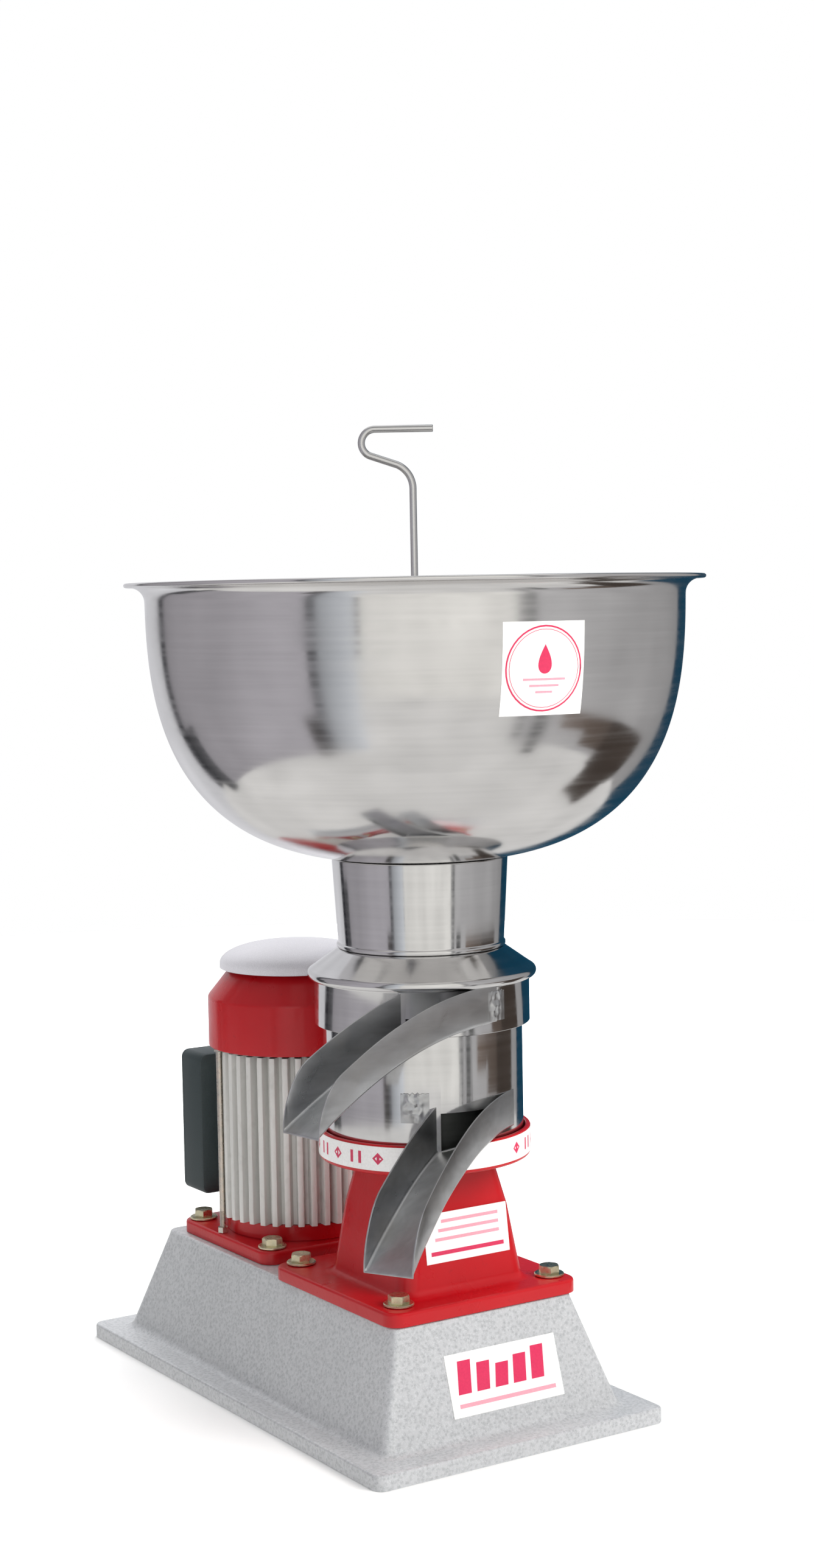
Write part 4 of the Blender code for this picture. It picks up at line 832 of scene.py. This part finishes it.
def make_tie_rods():
    """Through bolts of the motor: lower lock nut, threaded end, plain rod and the nut under the cowl."""
    low, high = (corner.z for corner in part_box("tie_rod_1"))
    rod, thread, across, nut = 0.00215, 0.0003, 0.0040, 0.0016
    loops = [hexagon(across, z, 24) for z in (low, low + 0.004)]
    loops += [circle(rod + thread * (i % 2 - 0.5), low + 0.0042 + 0.0007 * i / 2, 24) for i in range(36)]
    loops += [circle(rod, z, 24) for z in (low + 0.018, high - nut - 0.0002)]
    loops += [hexagon(across, z, 24) for z in (high - nut, high)]
    mesh = None
    for number, (x, y) in enumerate(arc(0, 0, TIE_ROD_AT, TIE_ROD_TURN, TIE_ROD_TURN + 240, 2), 1):
        made = repeated(f"tie_rod_{number}_stud", mesh, loops, "pale_zinc", MOTOR + Vector((x, y, 0.0)))
        mesh = made.data
        piece(made, "base", "zinc", f"tie_rod_{number}")


def upright(half_x, half_z, y, corner, centre_z):
    """A rounded rectangle standing in a plane of constant y."""
    return [(x, y, centre_z + z) for x, z, _ in rounded_rectangle(half_x, half_z, 0.0, corner, 8)]


def make_terminal_box():
    half, middle = (BOX_HIGH - BOX_LOW) / 2, (BOX_LOW.z + BOX_HIGH.z) / 2
    pad_x, pad_z, pad_depth = 0.0180, 0.0300, 0.0102
    front, rear, brow = BOX_LOW.y + pad_depth, BOX_HIGH.y, 0.0025
    loops = [upright(pad_x, pad_z, y, 0.006, middle) for y in (BOX_LOW.y, front)]
    rows = (-brow, front), (-brow * 0.3, front + brow * 0.3), (0.0, front + brow), (0.0, rear)
    loops += [upright(half.x + x, half.z + x, y, 0.006, middle) for x, y in rows]
    box = skin("terminal_box_shell", loops, "slate")
    wall = 0.0025
    inside = [upright(half.x - wall, half.z - wall, y, 0.004, middle) for y in (front + 0.003, rear + 0.002)]
    gland_low, gland_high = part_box("cable_gland")
    gland_y, gland_z = (gland_low.y + gland_high.y) / 2, (gland_low.z + gland_high.z) / 2
    hole = [[(x, y + gland_y, z + gland_z) for y, z in arc(0, 0, 0.0063, 0, 352.5, 47)]
            for x in (half.x - 0.006, half.x + 0.004)]
    combine(box, cuts=(skin("box_hollow", inside, "slate"), skin("gland_hole", hole, "slate")))
    piece(box, "base", "black_plastic", "terminal_box")

    flange, rim = LID_LOW.y, 0.0035
    depth = LID_HIGH.y - flange
    rows = [(0.0, 0.0, 0.006), (0.0, 0.0022, 0.006), (-0.0008, 0.0032, 0.006), (-0.0020, rim, 0.006),
            (-0.0050, rim + 0.0002, 0.010)]
    for i in range(1, 15):
        turn = math.radians(90 * i / 14)
        rows.append((-0.0055 - 0.0060 * (1 - math.cos(turn)) ** 1.5,
                     rim + (depth - rim) * math.sin(turn) ** 0.8, 0.011))
    lid_loops = [upright(half.x + x, half.z + x * 1.4, flange + y, corner, middle) for x, y, corner in rows]
    piece(skin("terminal_lid_shell", lid_loops, "slate"), "base", "black_plastic", "terminal_box_lid")

    loops = []
    for out, radius in ((-0.0045, 0.0060), (GAP, 0.0060), (GAP, 0.0088), (0.0006, 0.0090), (0.006, 0.0090),
                        (0.0075, 0.0080), (0.0078, 0.0078), (0.015, 0.0078), (0.0165, 0.0070),
                        (0.018, 0.0055), (0.018, 0.0040), (-0.0045, 0.0040)):
        groove = 0.0004 if 0.0070 < radius < 0.0089 and out > 0.0070 else 0.0
        radii = radius, radius - groove
        loops.append([(half.x + out, gland_y + radii[k % 2] * c, gland_z + radii[k % 2] * s)
                      for k, (c, s) in enumerate(arc(0, 0, 1.0, 0, 352.5, 47))])
    piece(skin("gland_body", loops, "slate", ring=True), "base", "black_plastic", "cable_gland")


# ---- pieces taken over from the CAD and rounded --------------------------------------------------
def rounded_copy(node, body, look, slot, axis, sides):
    """A finer copy of a turned node: its flat facets are cut lengthwise and bowed out to the true circle."""
    maker = bmesh.new()
    maker.from_mesh(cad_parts[node].data)
    bmesh.ops.translate(maker, verts=maker.verts, vec=-axis)
    bmesh.ops.remove_doubles(maker, verts=maker.verts, dist=2e-6)
    bmesh.ops.dissolve_limit(maker, angle_limit=0.005, verts=maker.verts, edges=maker.edges)
    fine = 5
    for i in range(sides * fine // 2):
        if i % fine:
            turn = math.tau * i / (sides * fine)
            parts = maker.verts[:] + maker.edges[:] + maker.faces[:]
            bmesh.ops.bisect_plane(maker, geom=parts, dist=1e-7, plane_co=(0, 0, 0),
                                   plane_no=(-math.sin(turn), math.cos(turn), 0.0))
    sector = math.tau / sides
    for vertex in maker.verts:
        off = (math.atan2(vertex.co.y, vertex.co.x) + 1e-6) % sector - sector / 2
        grow = math.cos(off) / math.cos(sector / 2)
        vertex.co.x *= grow
        vertex.co.y *= grow
    made = add_mesh(node + "_turned", maker, look, axis)
    piece(made, body, slot, node)


SLOT_OF = {"steel": "steel", "rubber": "gasket_rubber", "tinned": "tinned_steel", "float": "float_steel",
           "iron": "cast_iron", "red": "red_paint", "dark": "dark_casting", "stack": "laminations"}

# body, axis, sides of the facets, look, nodes
ROUNDED = (
    ("drum", COLUMN, 16, "steel", ("spindle", "spindle_pulley")),
    ("drum", COLUMN, 16, "tinned", ("drum_base",)),
    ("drum", COLUMN, 16, "rubber", ("drum_gasket",)),
    ("drum", COLUMN, 16, "tinned", ("distributor", "cone_disc_1", "cone_disc_2", "cone_disc_3", "cone_disc_4",
                                    "top_disc", "drum_hood")),
    ("float", COLUMN, 16, "float", ("float",)),
    ("bowl", COLUMN, 16, "steel", ("tap_seat",)),
    ("base", COLUMN, 16, "iron", ("spindle_housing",)),
    ("base", COLUMN, 16, "steel", ("spindle_bearing_lower", "spindle_bearing_upper")),
    ("base", MOTOR, 36, "red", ("motor_shield_lower",)),
    ("base", MOTOR, 36, "dark", ("motor_shield_upper",)),
    ("base", MOTOR, 16, "steel", ("motor_bearing_lower", "motor_bearing_upper")),
    ("base", MOTOR, 16, "stack", ("stator",)),
    ("motor_rotor", MOTOR, 16, "steel", ("motor_shaft",)),
    ("motor_rotor", MOTOR, 16, "alloy", ("rotor",)),
    ("motor_rotor", MOTOR, 24, "alloy", ("motor_pulley",)),
)

KEPT_AS_THEY_ARE = (("drum_nut", "brass"), ("drive_belt", "belt"), ("cooling_fan", "fan"),
                    ("run_capacitor", "can"), ("terminal_block", "block"))


def take_over_inner_pieces():
    for body, axis, sides, look, nodes in ROUNDED:
        for node in nodes:
            slot = SLOT_OF.get(look) or {"rotor": "rotor", "motor_pulley": "pulley"}[node]
            rounded_copy(node, body, look, slot, axis, sides)
    for node, look in KEPT_AS_THEY_ARE:
        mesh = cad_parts[node].data
        mesh.materials.clear()
        mesh.materials.append(LOOKS[look])


# ---- labels: plain film with abstract marks, no lettering ----------------------------------------
def on_bowl(across, z):
    """A point on the bowl: across is the distance along the wall from the sticker's middle."""
    radius = bowl_radius(z)
    turn = math.radians(263.0) + across / radius
    return lambda lift: ((radius + lift) * math.cos(turn), AXIS_Y + (radius + lift) * math.sin(turn), z)


def on_slope(foot_y, foot_z, top_y, top_z):
    """Points on a sloping front face, given by its foot and its top."""
    def at(x, z):
        share = (z - foot_z) / (top_z - foot_z)
        y = foot_y + (top_y - foot_y) * share
        tilt = math.atan2(top_y - foot_y, top_z - foot_z)
        return lambda lift: (x, y - lift * math.cos(tilt), z + lift * math.sin(tilt))
    return at


def patch(name, outline, look, surface, body, slot):
    """A thin film on a surface. The outline maps (u, v) from 0 to 1 to (across, z), with u along the film."""
    maker, wide, tall = bmesh.new(), 40, 12
    low, high = FILM if look == "film" else INK
    grid = {}
    for side, lift in enumerate((low, high)):
        for i in range(wide + 1):
            for j in range(tall + 1):
                across, z = outline(i / wide, j / tall)
                grid[side, i, j] = maker.verts.new(surface(across, z)(lift))
    close_grid(maker, grid, wide, tall)
    piece(add_mesh(name, maker, look, clean=1e-7), body, slot)


def oblong(across_low, across_high, z_low, z_high, slant=0.0):
    wide, tall = across_high - across_low, z_high - z_low
    return lambda u, v: (across_low + wide * u + slant * v, z_low + tall * v)


def ring(middle, radius, width):
    def at(u, v):
        turn, r = math.tau * u, radius - width * v
        return middle[0] + r * math.cos(turn), middle[1] + r * math.sin(turn)
    return at


def drop(middle, size):
    """A filled drop of milk, pointed at the top."""
    def at(u, v):
        turn, shrink = math.tau * u, 1 - 0.995 * v
        across = 0.78 * math.sin(turn) * math.sin(turn / 2) ** 1.3
        return middle[0] + size * shrink * across, middle[1] + size * shrink * 1.1 * math.cos(turn)
    return at


FILM = (0.00010, 0.00025)       # the film's underside and face, above the surface
INK = (0.00026, 0.00032)


def make_labels():
    z, at = 0.5272, (on_bowl, "bowl", "stainless")
    patch("bowl_label", oblong(-0.0292, 0.0292, z - 0.0295, z + 0.0295), "film", *at)
    patch("bowl_label_ring", ring((0.0, z), 0.0272, 0.0011), "ink", *at)
    patch("bowl_label_inner_ring", ring((0.0, z), 0.0248, 0.0004), "ink", *at)
    patch("bowl_label_drop", drop((0.0, z + 0.006), 0.0085), "ink", *at)
    for number, (half, up) in enumerate(((0.0150, -0.0075), (0.0105, -0.0115), (0.0060, -0.0155)), 1):
        patch(f"bowl_label_wave_{number}", oblong(-half, half, z + up, z + up + 0.0014), "pale_ink", *at)

    front = on_slope(FOOT_Y - BOX_FOOT_HALF.y, FOOT_Z, FOOT_Y - BOX_TOP_HALF.y, BOX_TOP_Z)
    at = front, "base", "silver_paint"
    patch("base_label", oblong(-0.0400, 0.0508, 0.0255, 0.0655), "film", *at)
    for number in range(5):
        left, low = -0.0335 + 0.0150 * number, 0.0395
        high = low + (0.0150 + 0.0030 * abs(number - 2))
        patch(f"base_label_bar_{number + 1}", oblong(left, left + 0.0105, low, high, 0.0030), "ink", *at)
    patch("base_label_line", oblong(-0.0340, 0.0450, 0.0310, 0.0336), "pale_ink", *at)

    rise = PAN_BOTTOM - PLATE_TOP
    column = on_slope(AXIS_Y - COLUMN_FOOT, PLATE_TOP, AXIS_Y - COLUMN_TOP, PLATE_TOP + rise)
    at = column, "base", "red_paint"
    patch("column_label", oblong(-0.0312, 0.0375, 0.1190, 0.1525), "film", *at)
    patch("column_label_swash", oblong(-0.0270, 0.0330, 0.1240, 0.1268), "ink", *at)
    for number, up in enumerate((0.1335, 0.1395, 0.1455)):
        left = -0.0230 + 0.003 * number
        patch(f"column_label_line_{number + 1}", oblong(left, 0.0300, up, up + 0.0022), "pale_ink", *at)


def make_pan_tape():
    """A white band of tape round the pan, printed with lozenges and pairs of short bars."""
    low, high = PAN_BOTTOM + 0.0027, PAN_LIP - 0.0012
    band = turned("pan_tape", [(PAN_R + FILM[0], low), (PAN_R + FILM[1], low), (PAN_R + FILM[1], high),
                               (PAN_R + FILM[0], high)], "film")
    combine(band, cuts=(spout_notch("tape_notch", "film"),))
    piece(band, "base", "red_paint")
    middle, size = (low + high) / 2, 0.0042
    maker = bmesh.new()
    for mark in range(26):
        aim = 360 / 26 * mark + 4
        across = ((aim - MILK_AIM + 180) % 360) - 180
        if 8 < across < 82:
            continue
        if mark % 2:
            shapes = [[(-size, 0), (0, -size), (size, 0), (0, size)]]
        else:
            shapes = [[(x - 0.0012, -size), (x + 0.0012, -size), (x + 0.0012, size), (x - 0.0012, size)]
                      for x in (-0.0035, 0.0035)]
        for shape in shapes:
            rows = []
            for lift in INK:
                row, radius = [], PAN_R + lift
                for x, y in shape:
                    turn = math.radians(aim) + x / PAN_R
                    point = radius * math.cos(turn), radius * math.sin(turn), middle + y
                    row.append(maker.verts.new(point))
                rows.append(row)
            maker.faces.new(rows[0][::-1])
            maker.faces.new(rows[1])
            for i in range(4):
                j = (i + 1) % 4
                maker.faces.new((rows[0][i], rows[0][j], rows[1][j], rows[1][i]))
    piece(add_mesh("pan_tape_marks", maker, "ink", COLUMN), "base", "red_paint")


# ---- studio --------------------------------------------------------------------------------------
def emitter(name, colour, first, last, half):
    """A glow that runs from one strength to another across a screen's angle, with soft clouds in it."""
    screen = Graph(bpy.data.materials.new(name))
    screen.tree.nodes.remove(screen.tree.nodes["Principled BSDF"])
    split = screen.add("ShaderNodeSeparateXYZ", {0: screen.where}).outputs
    across = screen.ranged(screen.sum(split["Y"], split["X"], "ARCTAN2"), first, last, -half, half)
    clouds = screen.add("ShaderNodeTexNoise", {"Scale": 3.2, "Vector": screen.where}).outputs["Fac"]
    power = screen.sum(across, screen.ranged(clouds, 0.86, 1.10), "MULTIPLY")
    glow = screen.add("ShaderNodeEmission", {"Color": (*colour, 1.0), "Strength": power})
    screen.join(glow.outputs["Emission"], screen.tree.nodes["Material Output"].inputs["Surface"])
    return screen.made


def card(name, start, end, near, far, colour, first, last):
    """A screen that only reflections see, between two azimuths and two (radius, height) edges."""
    maker, steps, half = bmesh.new(), 24, (end - start) / 2
    rows = [[maker.verts.new((x, y, z)) for x, y in arc(0, 0, radius, -half, half, steps)]
            for radius, z in (near, far)]
    for i in range(steps):
        maker.faces.new((rows[0][i], rows[0][i + 1], rows[1][i + 1], rows[1][i]))
    mesh = bpy.data.meshes.new(name)
    maker.to_mesh(mesh)
    maker.free()
    mesh.materials.append(emitter(name, colour, first, last, math.radians(half)))
    made = link(name, mesh, COLUMN)
    made.rotation_euler.z = math.radians((start + end) / 2)
    made.visible_camera = made.visible_diffuse = made.visible_shadow = False


def lamp(name, at, aim, size, power, colour=(1, 1, 1), seen=False):
    data = bpy.data.lights.new(name, "AREA")
    data.shape, data.size, data.size_y = "RECTANGLE", size[0], size[1]
    data.energy, data.color = power, colour
    made = link(name, data, at)
    made.rotation_euler = (Vector(aim) - Vector(at)).to_track_quat("-Z", "Y").to_euler()
    made.visible_glossy = seen
    made.visible_camera = False


def make_studio():
    floor_look = Finish("floor_paper")
    floor_look.colour(floor_look.mixed(floor_look.noise(6.0), (0.90, 0.90, 0.90), (0.92, 0.92, 0.92)))
    floor_look.rough(floor_look.ranged(floor_look.noise(40.0), 0.85, 0.95))
    LOOKS["floor"] = floor_look.made
    floor = skin("studio_floor", [circle(2.6, z, 96) for z in (-0.02, -0.0002)], "floor")

    world = Graph(bpy.data.worlds.new("studio_world"))
    bpy.context.scene.world = world.made
    back = world.tree.nodes["Background"].inputs
    back["Color"].default_value = (1.0, 1.0, 1.0, 1.0)
    bright_side = (0.80, 0.60, 0.0)
    toward = world.add("ShaderNodeVectorMath", {0: world.coordinates.outputs["Generated"], 1: bright_side},
                       operation="DOT_PRODUCT").outputs["Value"]
    world.join(world.ranged(toward, 0.30, 1.0, -0.45, 0.35), back["Strength"])

    lilac, warm = (0.80, 0.77, 0.83), (1.0, 0.985, 0.95)
    grey, brown = (0.83, 0.82, 0.83), (0.055, 0.042, 0.035)
    for name, start, end, near, far, colour, first, last in (
            ("card_back", 58, 112, (0.80, 0.0), (0.80, 1.6), (0.88, 0.88, 0.92), 0.85, 0.75),
            ("card_gap_left", 112, 121.5, (0.80, 0.0), (0.80, 1.6), (0.02, 0.02, 0.025), 1.0, 1.0),
            ("card_left", 121.5, 198, (0.62, 0.05), (0.62, 1.6), lilac, 0.36, 0.60),
            ("card_edge_left", 198, 202, (0.62, 0.05), (0.62, 1.6), (0.12, 0.12, 0.13), 0.8, 1.3),
            ("card_blend_left", 202, 216, (0.62, 0.05), (0.62, 1.6), (0.70, 0.73, 0.78), 0.52, 0.95),
            ("card_front", 216, 277, (1.40, 0.0), (1.40, 1.8), warm, 0.80, 0.92),
            ("card_edge_right", 277, 281, (0.70, 0.05), (0.70, 1.6), (0.16, 0.16, 0.16), 2.2, 0.8),
            ("card_right", 281, 368, (0.70, 0.05), (0.70, 1.6), grey, 0.62, 0.40),
            ("card_teal", 368, 418, (0.80, 0.0), (0.80, 1.6), (0.006, 0.050, 0.095), 0.8, 1.2),
            ("card_low_1", 122, 130, (0.60, 0.05), (0.60, 0.34), (0.06, 0.06, 0.065), 0.8, 1.6),
            ("card_low_2", 193, 199, (0.60, 0.05), (0.60, 0.28), (0.06, 0.055, 0.055), 1.6, 0.8),
            ("card_low_3", 284, 290, (0.60, 0.05), (0.60, 0.28), (0.07, 0.07, 0.07), 0.9, 2.2),
            ("card_blot", 326, 354, (0.685, 0.001), (0.685, 0.26), brown, 1.0, 1.0),
            ("card_blot_arm_1", 312, 326, (0.685, 0.10), (0.685, 0.26), shade(brown, 1.8), 1.3, 0.9),
            ("card_blot_arm_2", 298, 312, (0.685, 0.18), (0.685, 0.26), shade(brown, 2.4), 1.5, 0.9),
            ("card_blot_foot", 328, 352, (0.46, 0.001), (0.685, 0.001), brown, 1.0, 1.0),
            ("card_floor", 0, 359.99, (0.05, 0.0004), (3.0, 0.0004), (0.80, 0.79, 0.78), 0.92, 0.92)):
        card(name, start, end, near, far, colour, first, last)

    lamp("key", (0.9, -2.0, 1.7), (0.0, 0.0, 0.25), (1.2, 1.2), 56, (1.0, 0.985, 0.96))
    lamp("fill", (-2.1, -0.9, 1.2), (0.0, 0.0, 0.2), (1.6, 1.4), 2, (0.97, 0.98, 1.0))
    lamp("top", (0.0, 0.2, 2.4), (0.0, 0.0, 0.2), (1.8, 1.8), 20)
    lamp("backdrop", (0.9, 1.7, 1.6), (1.1, 2.0, 0.0), (2.4, 2.4), 60)
    lamp("glint_left", (-1.5, -1.5, 1.0), (0.0, 0.05, 0.25), (0.25, 1.1), 5, seen=True)


def make_camera():
    """The camera stands to the front left, a little above the neck and tipped down by a few degrees."""
    yaw, pitch, roll = math.radians(32.685), math.radians(-4.261), math.radians(-1.054)
    ahead = Vector((math.sin(yaw) * math.cos(pitch), math.cos(yaw) * math.cos(pitch), math.sin(pitch)))
    right = Vector((math.cos(yaw), -math.sin(yaw), 0.0))
    up = right.cross(ahead)
    side = right * math.cos(roll) + up * math.sin(roll)
    top = up * math.cos(roll) - right * math.sin(roll)
    data = bpy.data.cameras.new("camera")
    data.sensor_fit, data.sensor_height, data.lens = "VERTICAL", 36.0, 56.07
    data.clip_end = 60.0
    camera = link("camera", data)
    place = Matrix((side, top, -ahead)).transposed().to_4x4()
    place.translation = Vector((-0.9207, FOOT_Y - 1.5120, 0.5701))
    camera.matrix_world = place
    bpy.context.scene.camera = camera


make_base()
make_plates_and_body()
make_bolts()
make_milk_cover()
make_cream_cover()
make_neck()
make_bowl()
make_tap()
make_barrel()
make_cowl()
make_tie_rods()
make_terminal_box()
take_over_inner_pieces()
make_labels()
make_pan_tape()
make_studio()
make_camera()
bpy.context.scene.view_settings.view_transform = "Standard"
